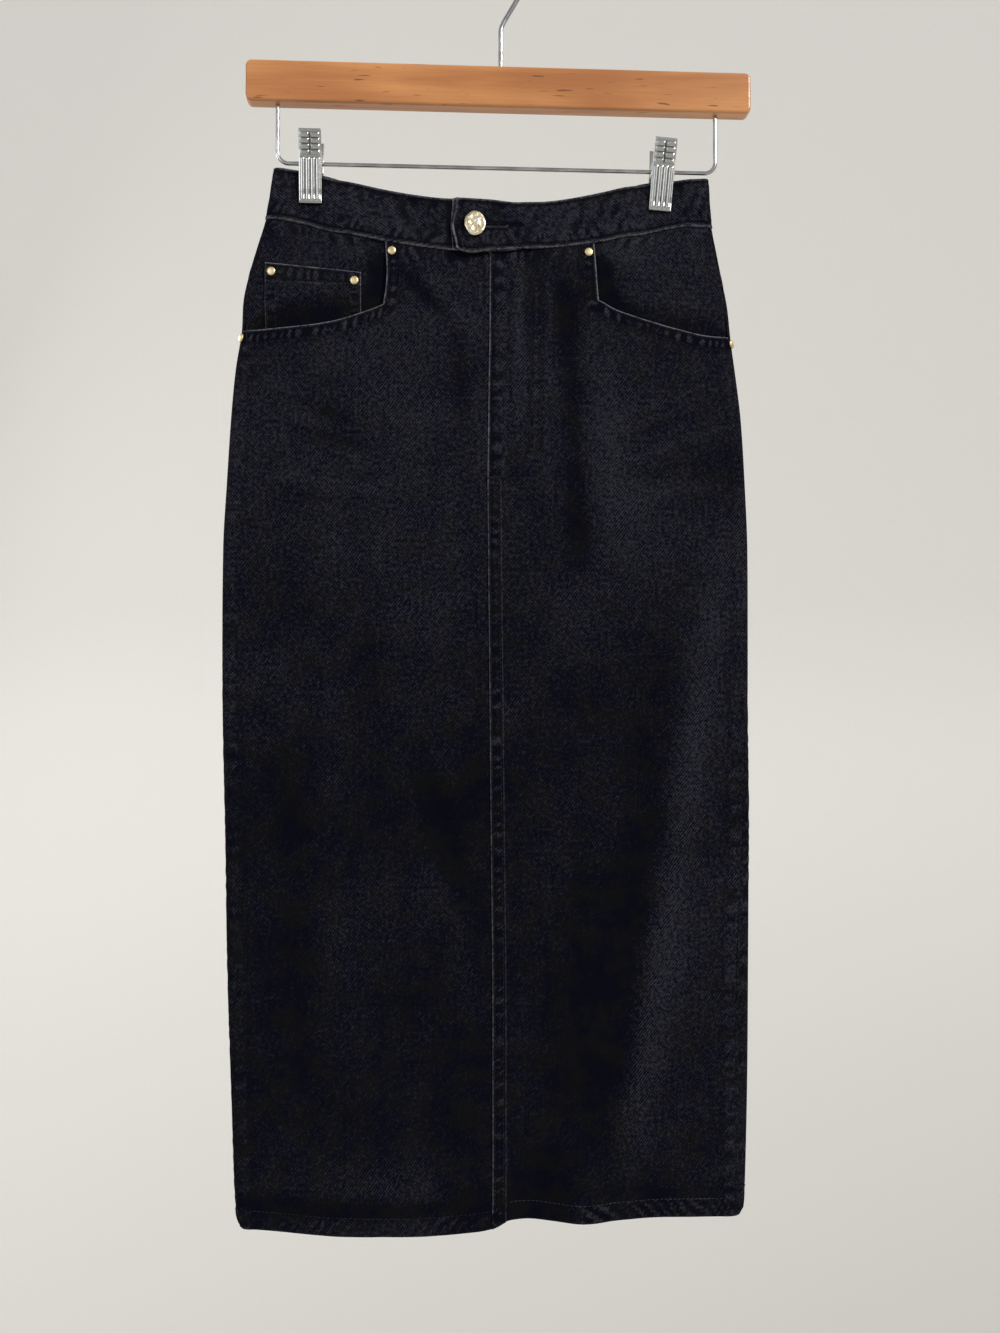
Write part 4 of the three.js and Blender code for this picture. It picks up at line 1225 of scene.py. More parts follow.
@dataclass(frozen=True)
class WoodFinish(Finish):
    """Lacquered orange-brown wood with its grain along X."""

    pale: Colour = (0.630, 0.276, 0.090)
    deep: Colour = (0.385, 0.134, 0.036)
    fleck: Colour = (0.120, 0.036, 0.012)

    def sockets(self, r: Recipe) -> Sockets:
        """Figure, fibres and dark pores under lacquer."""
        place = r.place()
        figure = r.noise(r.scaled(place, (3.5, 60.0, 38.0)), 1.0, 4.0, 0.55, 0.6)
        fibre = r.noise(r.scaled(place, (22.0, 800.0, 700.0)), 1.0, 3.0, 0.6)
        pore = r.noise(r.scaled(place, (55.0, 620.0, 620.0)), 1.0, 1.0, 0.4)
        cloud = r.noise(r.scaled(place, (9.0, 20.0, 20.0)), 1.0)
        tone = r.mix((figure * 0.75 + cloud * 0.35 + fibre * 0.15).step(0.42, 0.82), self.deep, self.pale)
        dark = (pore * 0.85 + fibre * 0.15).step(0.66, 0.72) * 0.8 + fibre.step(0.62, 0.80) * 0.25
        return {
            "Base Color": r.mix(dark, tone, self.fleck),
            "Roughness": fibre * 0.12 + 0.30,
            "Coat Weight": 0.45,
            "Coat Roughness": 0.12,
            "Normal": r.bump(fibre + pore * 0.5, 0.18, 0.0002),
        }


@dataclass(frozen=True)
class TapeFinish(Finish):
    """Woven zip tape."""

    colour: Colour = (0.012, 0.012, 0.016)
    pale: Colour = (0.035, 0.036, 0.045)
    rib_pitch: float = 0.0011

    def sockets(self, r: Recipe) -> Sockets:
        """Ribs along the tape, with some grain."""
        rib = (r.axis(r.place(), "X") * (2 * math.pi / self.rib_pitch)).sine() * 0.5 + 0.5
        grain = r.noise(r.place(), 900.0, 3.0)
        return {
            "Base Color": r.mix((rib * 0.5 + grain * 0.5).step(0.4, 0.9), self.colour, self.pale),
            "Roughness": 0.75,
            "Normal": r.bump(rib + grain, 0.4, 0.0001),
        }


@dataclass(frozen=True)
class PaintFinish(Finish):
    """Pale wall paint, with painted shade darkening it towards the floor."""

    paint: Colour = (0.66, 0.65, 0.62)
    fleck: Colour = (0.4, 0.4, 0.4)
    shaded: float = 0.84

    def sockets(self, r: Recipe) -> Sockets:
        """Paint darkened towards the floor by painted shade, faintly flecked."""
        grain = r.noise(r.place(), 120.0, 3.0).step(0.3, 0.7)
        # Painted shade: the paint darkens from 0.55 m down to the floor.
        height = r.axis(r.place(), "Z").step(-1.75, -0.55)
        paint = r.mix(height, tuple(c * self.shaded for c in self.paint), self.paint)
        return {"Base Color": r.mix(grain * 0.03, paint, self.fleck), "Roughness": 0.9}


class Finishes:
    """Every finish of the skirt and its hanger."""

    def __init__(self) -> None:
        """Makes the materials."""
        self.denim = DenimFinish("washed_black_denim").make()
        band = DenimFinish("waistband_denim", lift=0.22, mottled=1.5, blotchy=1.4, lean=(0.6, 0.8))
        self.band = band.make()
        self.facing = DenimFinish("pocket_denim", lift=0.02).make()
        self.thread = ThreadFinish("tonal_thread").make()
        self.grey_thread = ThreadFinish("rubbed_thread", (0.016, 0.0165, 0.021), (0.060, 0.062, 0.074)).make()
        self.gold = GoldFinish("pale_gold", (0.93, 0.87, 0.68), (0.64, 0.52, 0.32), 900.0, 0.30).make()
        self.rivet = GoldFinish("rivet_gold", (0.86, 0.74, 0.46), (0.60, 0.47, 0.24), 700.0, 0.34).make()
        self.chrome = ChromeFinish("bright_plate").make()
        self.satin = ChromeFinish("pressed_plate", (0.56, 0.56, 0.54), (0.47, 0.47, 0.45), 0.22, 0.02).make()
        self.wood = WoodFinish("lacquered_wood").make()
        self.tape = TapeFinish("zip_tape").make()


def settle(piece: Piece, material: bpy.types.Material, slot: str, *nodes: str) -> Piece:
    """Dresses a piece and ties it to the frame.

    Args:
        piece: the object.
        material: its finish.
        slot: the record's material slot; not used.
        nodes: the frame's nodes that it stands for.

    Returns:
        The piece.
    """
    piece.data.materials.append(material)
    if nodes:
        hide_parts(*nodes)
    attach(piece, "root")
    return piece


def declare(piece: Piece, rests_on: Sequence[str], *cloths: Cloth) -> Piece:
    """Works out a piece's flat size from its stretches of cloth, without keeping it, and returns the piece.

    Args:
        piece: the object.
        rests_on: what holds it; not used.
        cloths: the stretches of cloth that it is made of, side by side.

    Returns:
        The piece.
    """
    widths, lengths, areas = zip(*(cloth.flat_cut() for cloth in cloths))
    sum(widths)
    max(lengths)
    sum(areas)
    return piece


def bands(rings: int, sides: int, first: int = 0) -> list[list[int]]:
    """Faces between rings of points that follow one another.

    Args:
        rings: number of rings.
        sides: points in each.
        first: number of the first point.

    Returns:
        The faces.
    """
    corners = [(first + ring * sides, k, (k + 1) % sides) for ring in range(rings - 1) for k in range(sides)]
    return [[at + a, at + b, at + b + sides, at + a + sides] for at, a, b in corners]


def circle(sides: int) -> Array:
    """Even angles round a circle."""
    return np.linspace(0, 2 * math.pi, sides, endpoint=False)


def turned(top: float, rings: Sequence[tuple[Any, Any]], sides: int) -> tuple[Array, list[list[int]]]:
    """A turned solid that stands on Z.

    Args:
        top: height of its top's middle.
        rings: radius and height of each ring, from the top down.
        sides: round it.

    Returns:
        Its points and faces.
    """
    angle = circle(sides)
    points = [np.array([[0.0, 0.0, top]])]
    points += [np.stack([r * np.cos(angle), r * np.sin(angle), 0 * angle + z], axis=1) for r, z in rings]
    faces = [[0, 1 + k, 1 + (k + 1) % sides] for k in range(sides)]
    faces += [[a, d, c, b] for a, b, c, d in bands(len(rings), sides, 1)]
    faces.append([1 + (len(rings) - 1) * sides + k for k in range(sides)][::-1])
    return np.concatenate(points), faces


def tube(points: Array, radius: float, sides: int = 16) -> tuple[Array, list[list[int]]]:
    """Sweeps a round wire along a path.

    Args:
        points: of the path.
        radius: of the wire.
        sides: round it.

    Returns:
        Its points and faces.
    """
    points = np.asarray(points, float)
    along = np.gradient(points, axis=0)
    along /= np.linalg.norm(along, axis=1)[:, None]
    side = np.cross(along[0], (0.3, 1.0, 0.2))
    side /= np.linalg.norm(side)
    rings = []
    angle = circle(sides)
    for point, forward in zip(points, along):
        side = side - forward * side.dot(forward)
        side /= np.linalg.norm(side)
        up = np.cross(forward, side)
        rings.append(point + radius * (np.outer(np.cos(angle), side) + np.outer(np.sin(angle), up)))
    last = (len(points) - 1) * sides
    ends = [list(range(sides))[::-1], [last + k for k in range(sides)]]
    return np.concatenate(rings), bands(len(points), sides) + ends


def arc(cx: float, cz: float, radius: float, start: float, end: float, steps: int) -> Array:
    """Points of an arc in X and Z, its angles in degrees."""
    angle = np.radians(np.linspace(start, end, steps + 1))
    return np.stack([cx + radius * np.cos(angle), 0 * angle, cz + radius * np.sin(angle)], axis=1)


@dataclass
class Bundle:
    """Points and faces of several solids that are one piece."""

    points: list[Array] = field(default_factory=list)
    faces: list[list[int]] = field(default_factory=list)

    def add(self, points: Array, faces: Iterable[Sequence[int]]) -> None:
        """Adds a solid."""
        base = sum(len(p) for p in self.points)
        self.points.append(np.asarray(points, float))
        self.faces.extend([base + k for k in face] for face in faces)

    def build(self, name: str, place: Callable[[Array], Array] = lambda p: p) -> Piece:
        """Makes the piece, its points moved by place."""
        return add_object(name, place(np.concatenate(self.points)), self.faces)


@dataclass
class Stitches(Bundle):
    """Stitches that are one piece, each a short round thread that dips at its ends."""

    capped: bool = False
    sides: int = 6
    rings: tuple[Triple, ...] = (
        (-1.0, 0.35, -0.9), (-0.82, 0.85, -0.35), (0.0, 1.0, 0.0), (0.82, 0.85, -0.35), (1.0, 0.35, -0.9),
    )

    def __post_init__(self) -> None:
        """Shapes one stitch along X."""
        angle = circle(self.sides)
        rings = [(t, w * math.cos(a), w * math.sin(a) + dip) for t, w, dip in self.rings for a in angle]
        self.one = np.array(rings)
        self.skin = bands(len(self.rings), self.sides)
        if self.capped:
            ends = list(range(self.sides))
            self.skin += [ends[::-1], [len(self.one) - self.sides + k for k in ends]]

    def stitch(self, middle: Array, half: Array, normal: Array, wide: float, high: float,
               shift: float = 0.0) -> None:
        """Adds a stitch.

        Args:
            middle: of the stitch.
            half: from there to its end.
            normal: of the cloth.
            wide: half its width.
            high: half its height.
            shift: how far it is set to one side, in half widths.
        """
        side = np.cross(normal, half)
        side *= wide / np.linalg.norm(side)
        up = np.cross(half, side)
        up *= high / np.linalg.norm(up)
        self.add(middle + side * shift + self.one @ np.stack([half, side, up]), self.skin)


@dataclass
class FrontPanel:
    """A front panel, cut away for the pocket at its upper outer corner."""

    form: SkirtForm
    finishes: Finishes
    side: Side
    step: float = 2.7
    inner_span: float = 44.0
    pocket_span: float = 31.0
    outer_span: float = 109.0
    pocket_drop: float = 50.0
    length: float = 641.0

    def cloth(self) -> Cloth:
        """Lays the panel's grid and shapes its layers."""
        form, side, right = self.form, self.side, self.side is Side.RIGHT
        pocket_p, drop = self.inner_span + self.pocket_span, self.pocket_drop
        seams = [*FELL_ROWS, FELL_WIDTH, FELL_WIDTH + 0.8, *FLY_ROWS] if right else []
        columns = Spans(
            [
                self._seam_edge,
                level(self.inner_span),
                form.pocket_side[side],
                lambda z: form.side_seam(side, z),
            ],
            [self.inner_span, self.pocket_span, self.outer_span],
            self.step,
            [*seams, *(pocket_p - row for row in POCKET_ROWS)],
        )
        rows = Spans(
            [
                lambda g: form.seam_height(side, g) - GAP / 2,
                form.pocket_line[side],
                lambda g: form.hem_height(side, g) + HEM_TURN,
                lambda g: form.hem_height(side, g),
            ],
            [drop, self.length, HEM_TURN],
            self.step,
            [*(drop + row for row in POCKET_ROWS), drop + self.length + HEM_TURN - HEM_ROW],
        )
        made = Cloth(form, side, columns, rows)
        p, q = made.p, made.q
        inside, below = made.to_end
        made.present = ~((made.middle(p) > pocket_p) & (made.middle(q) < drop))
        to_pocket = np.hypot(np.maximum(pocket_p - p, 0), np.maximum(q - drop, 0))
        made.turn_hem(0.2, 0.5, 41 + side.value, where=1.0 if right else 0.35, boost=1.5)
        if right:
            made.z -= 0.5 * made.pucker * (1 - smooth(below, 0.0, 9.0))
        curved = 0.45 + 0.55 * smooth(p, pocket_p - 6.0, pocket_p + 8.0)
        along = np.where(p < pocket_p, q + 900.0, p)
        made.gather(to_pocket, along, POCKET_ROWS, 7.4, 0.34, 31 + side.value, where=curved, boost=3.6)
        for row in POCKET_ROWS:
            made.groove(to_pocket - row)
        # Painted shade in a band just above the hem, stronger across the left half.
        shade = 0.55 * ridge(p, 95.0, 85.0) if side is Side.LEFT else 0.14
        made.fade -= shade * ridge(below, HEM_TURN + 4.0, 7.0)
        high = 1 - smooth(q, 4, 22)
        made.gather(q, p, (0.8, 24.0), 7.6, 0.30, 51 + side.value, slant=0.2, where=high, boost=1.2)
        allowance = 1 - smooth(inside, 9.2, 11.4)
        made.outer += 0.32 * allowance
        # Painted highlight on the seam allowance's ridge, with a line of painted shade just inside it.
        made.fade += 0.10 * allowance - 0.16 * ridge(inside, 12.0, 1.3)
        puckered = 0.55 * smooth(-made.z, 520, 620) if right else 0.4
        made.gather(inside, made.z, (0.5, 10.0), 12.5, 0.22, 61 + side.value, where=puckered)
        made.wear += 1.15 * ridge(to_pocket, 0.0, 0.95) + 0.26 * ridge(to_pocket, 10.6, 0.8)
        made.wear += 0.40 * ridge(below, 0.0, 0.9) * smooth(below, -1, 0.1) + 0.20 * ridge(inside, 0.0, 0.8)
        near, far = POCKET_ROWS
        # Painted shade in the pocket's stitch grooves and between them, and just under the waist seam.
        row_shade = ridge(to_pocket, near + 0.4, 1.1) + 0.8 * ridge(to_pocket, far, 1.1)
        made.fade -= 0.42 * row_shade + 0.05 * ridge(to_pocket, 5.5, 4.0) + 0.18 * ridge(q, 0.0, 2.2)
        if right:
            self._overlap(made)
        else:
            # Painted shadow cast on the left front under the waistband's tab.
            tab_shadow_depth = lerp(2.8, 9.6, smooth(p, 2.0, 25.0))
            made.fade -= 1.1 * (1 - smooth(p, 27.0, 33.0)) * (1 - smooth(q, 0.6 * tab_shadow_depth, 1.1 * tab_shadow_depth))
        # Fold ridges painted paler and troughs darker (painted highlight and painted shade), and the broad
        # wash and shading.
        made.fade += made.relief(0.17) + self._wash(made)
        made.round_edges(np.minimum(made.margin, to_pocket))
        return made

    @staticmethod
    def _seam_edge(z: Array) -> Array:
        """The edge beside the centre seam, where the panels touch at the hem."""
        return GAP / 2 - (GAP / 2 + 0.04) * smooth(-z, 903.0, 908.0)

    def _wash(self, made: Cloth) -> Array:
        """Broad changes of tone: wash paling at the hips, paler on the right thigh, darker towards the hem,
        painted shade in the trough beside the centre seam on the left, and on the right a painted highlight
        past the long fold with painted shade inside it.

        Args:
            made: the cloth.

        Returns:
            The change in tone at each point.
        """
        out, z = made.p, made.z
        hips = ridge(out, 78.0, 62.0) * ridge(z, -335.0, 95.0)
        tone = 0.10 - 0.15 * smooth(-z, 330, 600) - 0.07 * smooth(-z, 430, 640) - 0.06 * smooth(-z, 620, 840)
        if self.side is Side.LEFT:
            centre = ridge(out, 12.0, 26.0) * ridge(z, -640.0, 260.0)
            return tone + 0.08 * hips - 0.10 * centre - 0.06 * smooth(-z, 780, 880)
        past = out - np.interp(-z, [420.0, 906.0], [163.0, 86.0])
        side = 0.13 * smooth(past, -14.0, 18.0) + 0.05 * ridge(past, 4.0, 12.0)
        side -= 0.09 * ridge(past, -38.0, 32.0)
        thigh = ridge(out, 105.0, 60.0) * ridge(z, -600.0, 170.0)
        return tone + 0.17 * hips + 0.06 * thigh + smooth(-z, 440.0, 620.0) * side

    def _overlap(self, made: Cloth) -> None:
        """Raises the felled seam and the fly, which lie on the right front.

        Args:
            made: the cloth.
        """
        p, z = made.p, made.z
        fly = smooth(z, FLY_BOTTOM - 4, FLY_BOTTOM + 4)
        low = 1 - smooth(z, -345, -315)
        out = p - self._fly_reach(z)
        made.outer += FELL_PROUD * (1 - smooth(p, FELL_WIDTH - 0.5, FELL_WIDTH + 0.5)) * (1 - fly)
        made.outer += FLY_PROUD * fly * (1 - smooth(out, -1.0, 2.5))
        made.outer += (FELL_PROUD - FLY_PROUD) * fly * (1 - smooth(p, 1.5, 14.0))
        made.groove(p - FELL_ROWS[0])
        made.groove(p - FELL_ROWS[1], 1 - fly)
        for row in FLY_ROWS:
            made.groove(out + FLY_WIDTH - row, fly)
            # Painted shade along the fly's stitch grooves.
            made.fade -= 0.24 * fly * ridge(out + FLY_WIDTH, row, 1.0)
        made.gather(p, z, (1.0, 8.8), 8.8, 0.24, 71, where=1 - fly, boost=1.5)
        made.gather(p, z, (1.8, 11.0), 12.0, 0.24, 72, where=fly)
        foot = fly * smooth(-z, 235, 300)
        made.gather(out, 0.3 * p - z, (-8.6, -0.6), 8.6, 0.10, 73, where=foot, boost=0.6)
        made.outer += 0.30 * fly * (ridge(p, 13.5, 1.6) * low + ridge(p, 21.0, 4.0) * (1 - low))
        edge = lerp(0.72, 1.05, fly) * (1 - 0.7 * smooth(-z, 907, 914))
        made.wear += edge * ridge(p, 0.0, 0.9) + 0.30 * ridge(p, FELL_WIDTH, 0.8) * (1 - fly)
        # Painted highlights on the fly's raised ridges, painted shade in lines beside them, the fly a little
        # darker overall, and painted shade along the fell's stitch grooves.
        light = 0.20 * ridge(p, 12.0, 3.0) * low + 0.20 * ridge(p, 22.0, 5.0) * smooth(z, -366, -340) - 0.10
        light += 0.12 * ridge(p, 9.0, 4.5) * (1 - smooth(-z, 300, 392))
        light -= 0.16 * ridge(p, 16.2, 1.0) * smooth(-z, 262, 300)
        made.fade += fly * light - 0.30 * ridge(p, 8.3, 0.8) * (1 - fly) - 0.30 * ridge(p, 2.2, 1.0)

    @staticmethod
    def _fly_reach(z: Array) -> Array:
        """How far the fly's facing reaches from the centre seam, round to its foot."""
        turn = np.clip((FLY_TURN - z) / (FLY_TURN - FLY_BOTTOM + 6.0), 0.0, 1.0)
        return 2.0 + (FLY_WIDTH - 2.0) * np.sqrt(1 - turn**2)

    def build(self) -> list[Piece]:
        """Makes the panel."""
        cloth = self.cloth()
        name = f"front_{self.side.label}"
        piece = settle(cloth.mesh(f"{name}_cloth"), self.finishes.denim, "denim", name)
        return [declare(piece, ["waistband_back"], cloth)]


@dataclass
class Pocket:
    """A pocket's facing behind its opening, and on the left the coin pocket on it."""

    form: SkirtForm
    finishes: Finishes
    side: Side
    step: float = 2.2
    width: float = 98.0
    height: float = 74.0
    fine: float = 1.8
    coin_height: float = 45.0

    def facing(self) -> Cloth:
        """Lays the facing's grid."""
        form, side = self.form, self.side
        columns = Spans(
            [lambda z: form.pocket_side[side](z) - POCKET_TUCK, lambda z: form.side_seam(side, z)],
            [POCKET_TUCK + self.width],
            self.step,
        )
        rows = Spans(
            [
                lambda g: form.seam_height(side, g) - GAP / 2,
                lambda g: form.pocket_line[side](g) - POCKET_TUCK,
            ],
            [self.height],
            self.step,
        )
        made = Cloth(form, side, columns, rows)
        q, beside = made.q, made.p - POCKET_TUCK
        base = form.facing_offset(side, made.girth, made.z)
        made.outer, made.inner = base.copy(), base - DENIM
        # Painted shade in the gape beside the opening and where the facing sinks behind the front panel.
        gape = ridge(beside, 0.0, 15.0) * smooth(q, 8, 22)
        made.fade += (0.04 if side is Side.LEFT else 0.11) - 0.55 * gape
        made.fade -= 0.30 * smooth(-(base + 0.4) / FACING_SINK, 0.2, 0.9)
        made.fade += 0.14 * ridge(q, 14.0, 9.0) * ridge(beside, 30.0, 24.0)
        made.gather(q, made.p, (0.8, 16.0), 11.0, 0.20, 84, slant=0.6, where=1 - smooth(q, 3, 14))
        made.round_edges(made.margin)
        return made

    def coin(self) -> Cloth:
        """Lays the coin pocket's grid on the facing."""
        form, side = self.form, self.side
        width = COIN.far - COIN.near
        sides = [at for row in COIN.side_rows for at in (row, width - row)]
        columns = Spans([level(COIN.near), level(COIN.far)], [width], self.fine, sides)
        rows = Spans(
            [COIN.top, lambda g: form.pocket_line[side](g) - COIN.tuck],
            [self.coin_height],
            self.fine,
            [*COIN_ROWS, COIN.hem],
        )
        made = Cloth(form, side, columns, rows)
        q, beside = made.q, np.minimum(made.p, made.to_end[0])
        made.inner = form.facing_offset(side, made.girth, made.z) + GAP
        on_hem = 1 - smooth(q, COIN.hem - 0.5, COIN.hem + 0.5)
        made.outer = made.inner + COIN.thick + COIN.hem_thick * on_hem
        for row in COIN_ROWS:
            made.groove(q - row)
        made.groove(beside - COIN.side_rows[0], smooth(q, 9, 11))
        made.gather(q, made.p, (1.4, 10.2), 7.0, 0.26, 81, boost=1.8)
        made.gather(beside, q, (1.2, 8.4), 6.4, 0.12, 82, where=smooth(q, 11, 13), boost=0.9)
        made.wear += 0.95 * ridge(q, 0.0, 0.85) + 0.34 * ridge(q, COIN.hem + 0.2, 0.8)
        made.wear += 0.62 * ridge(beside, 0.0, 0.7)
        above = made.z - form.pocket_line[side](made.girth)
        # Painted shade in the stitch grooves and near the pocket's lower edge, where the coin pocket dips
        # behind the front panel, and a little darker further down.
        made.fade += 0.10 - 0.3 * ridge(q, 2.0, 0.9) - 0.3 * ridge(q, 9.6, 0.8)
        made.fade -= 0.34 * (1 - smooth(above, 4, 22)) + 0.10 * smooth(q, 12, 30)
        made.round_edges(made.margin)
        return made

    def build(self) -> list[Piece]:
        """Makes the facing, and the coin pocket where there is one."""
        cloths = {f"pocket_facing_{self.side.label}": self.facing()}
        if self.side is Side.LEFT:
            cloths["coin_pocket"] = self.coin()
        made = []
        for name, cloth in cloths.items():
            piece = settle(cloth.mesh(f"{name}_cloth"), self.finishes.facing, "pocket_denim", name)
            made.append(declare(piece, ["waistband_back"], cloth))
        return made


@dataclass
class Back:
    """Half of the back: its yoke and the panel below it."""

    form: SkirtForm
    finishes: Finishes
    side: Side
    step: float = 2.9
    side_span: float = 13.0
    seam_span: float = 20.0
    yoke_height: float = 60.0
    length: float = 630.0

    def _columns(self) -> Spans:
        """Columns from beside the side seam, round the fold, to the centre back seam."""
        form, side = self.form, self.side
        flat = one(lambda z: form.half(side, z).flat, -450.0)
        end = self.side_span + flat
        return Spans(
            [
                lambda z: form.side_seam(side, z) + GAP,
                lambda z: form.half(side, z).flat + form.half(side, z).turn,
                lambda z: form.half(side, z).whole - self.seam_span,
                lambda z: form.half(side, z).whole - GAP / 2,
            ],
            [self.side_span, flat - self.seam_span, self.seam_span],
            self.step,
            [end - FELL_WIDTH, *(end - row for row in FELL_ROWS)] if side is Side.LEFT else [],
        )

    def _shape(self, made: Cloth) -> None:
        """Shapes what the yoke and the panel share: the felled centre seam and the side.

        Args:
            made: the cloth.
        """
        p, inside = made.p, made.to_end[0]
        if self.side is Side.LEFT:
            made.outer += FELL_PROUD * (1 - smooth(inside, FELL_WIDTH - 0.5, FELL_WIDTH + 0.5))
            for row in FELL_ROWS:
                made.groove(inside - row)
            made.gather(inside, made.z, (1.0, 8.8), 9.0, 0.22, 91)
            made.wear += 0.9 * ridge(inside, 0.0, 0.95) + 0.25 * ridge(inside, FELL_WIDTH, 0.7)
        made.gather(p, made.z, (0.6, 8.0), 12.0, 0.18, 92 + self.side.value, where=smooth(-made.z, 480, 600))
        made.wear += 0.22 * ridge(p, 0.0, 0.9)

    def yoke(self) -> Cloth:
        """Lays the yoke's grid."""
        form, side = self.form, self.side
        rows = Spans(
            [lambda g: form.seam_height(side, g) - GAP / 2, lambda g: form.yoke_line(side, g) + GAP / 2],
            [self.yoke_height],
            self.step,
            [self.yoke_height - row for row in YOKE_ROWS],
        )
        made = Cloth(form, side, self._columns(), rows)
        self._shape(made)
        q, below = made.q, made.to_end[1]
        made.outer += 0.35 * (1 - smooth(below, 9.0, 10.6))
        for row in YOKE_ROWS:
            made.groove(below - row)
        made.gather(below, made.p, (1.2, 8.8), 8.6, 0.24, 101)
        made.wear += 0.9 * ridge(below, 0.0, 0.95)
        made.gather(q, made.p, (0.8, 15.0), 9.4, 0.22, 102, where=1 - smooth(q, 3, 13))
        made.round_edges(made.margin)
        return made

    def panel(self) -> Cloth:
        """Lays the panel's grid."""
        form, side = self.form, self.side
        rows = Spans(
            [
                lambda g: form.yoke_line(side, g) - GAP / 2,
                lambda g: form.hem_height(side, g) + HEM_TURN,
                lambda g: form.hem_height(side, g),
            ],
            [self.length, HEM_TURN],
            self.step,
            [self.length + HEM_TURN - HEM_ROW],
        )
        made = Cloth(form, side, self._columns(), rows)
        self._shape(made)
        made.turn_hem(0.6, 0.42, 111 + side.value)
        made.wear += 0.55 * ridge(made.to_end[1], 0.0, 0.9)
        # The seat paled by wear; fold ridges painted paler and troughs darker, painted highlight and painted
        # shade.
        seat = ridge(made.p, 95.0, 50.0) * ridge(made.z, -380.0, 90.0)
        made.fade += 0.16 * seat + made.relief(0.11)
        made.round_edges(made.margin)
        return made

    def build(self) -> list[Piece]:
        """Makes the yoke and the panel."""
        made = []
        for name, cloth in (("back_yoke", self.yoke()), ("back", self.panel())):
            node = f"{name}_{self.side.label}"
            piece = settle(cloth.mesh(f"{node}_cloth"), self.finishes.denim, "denim", node)
            made.append(declare(piece, ["waistband_back"], cloth))
        return made


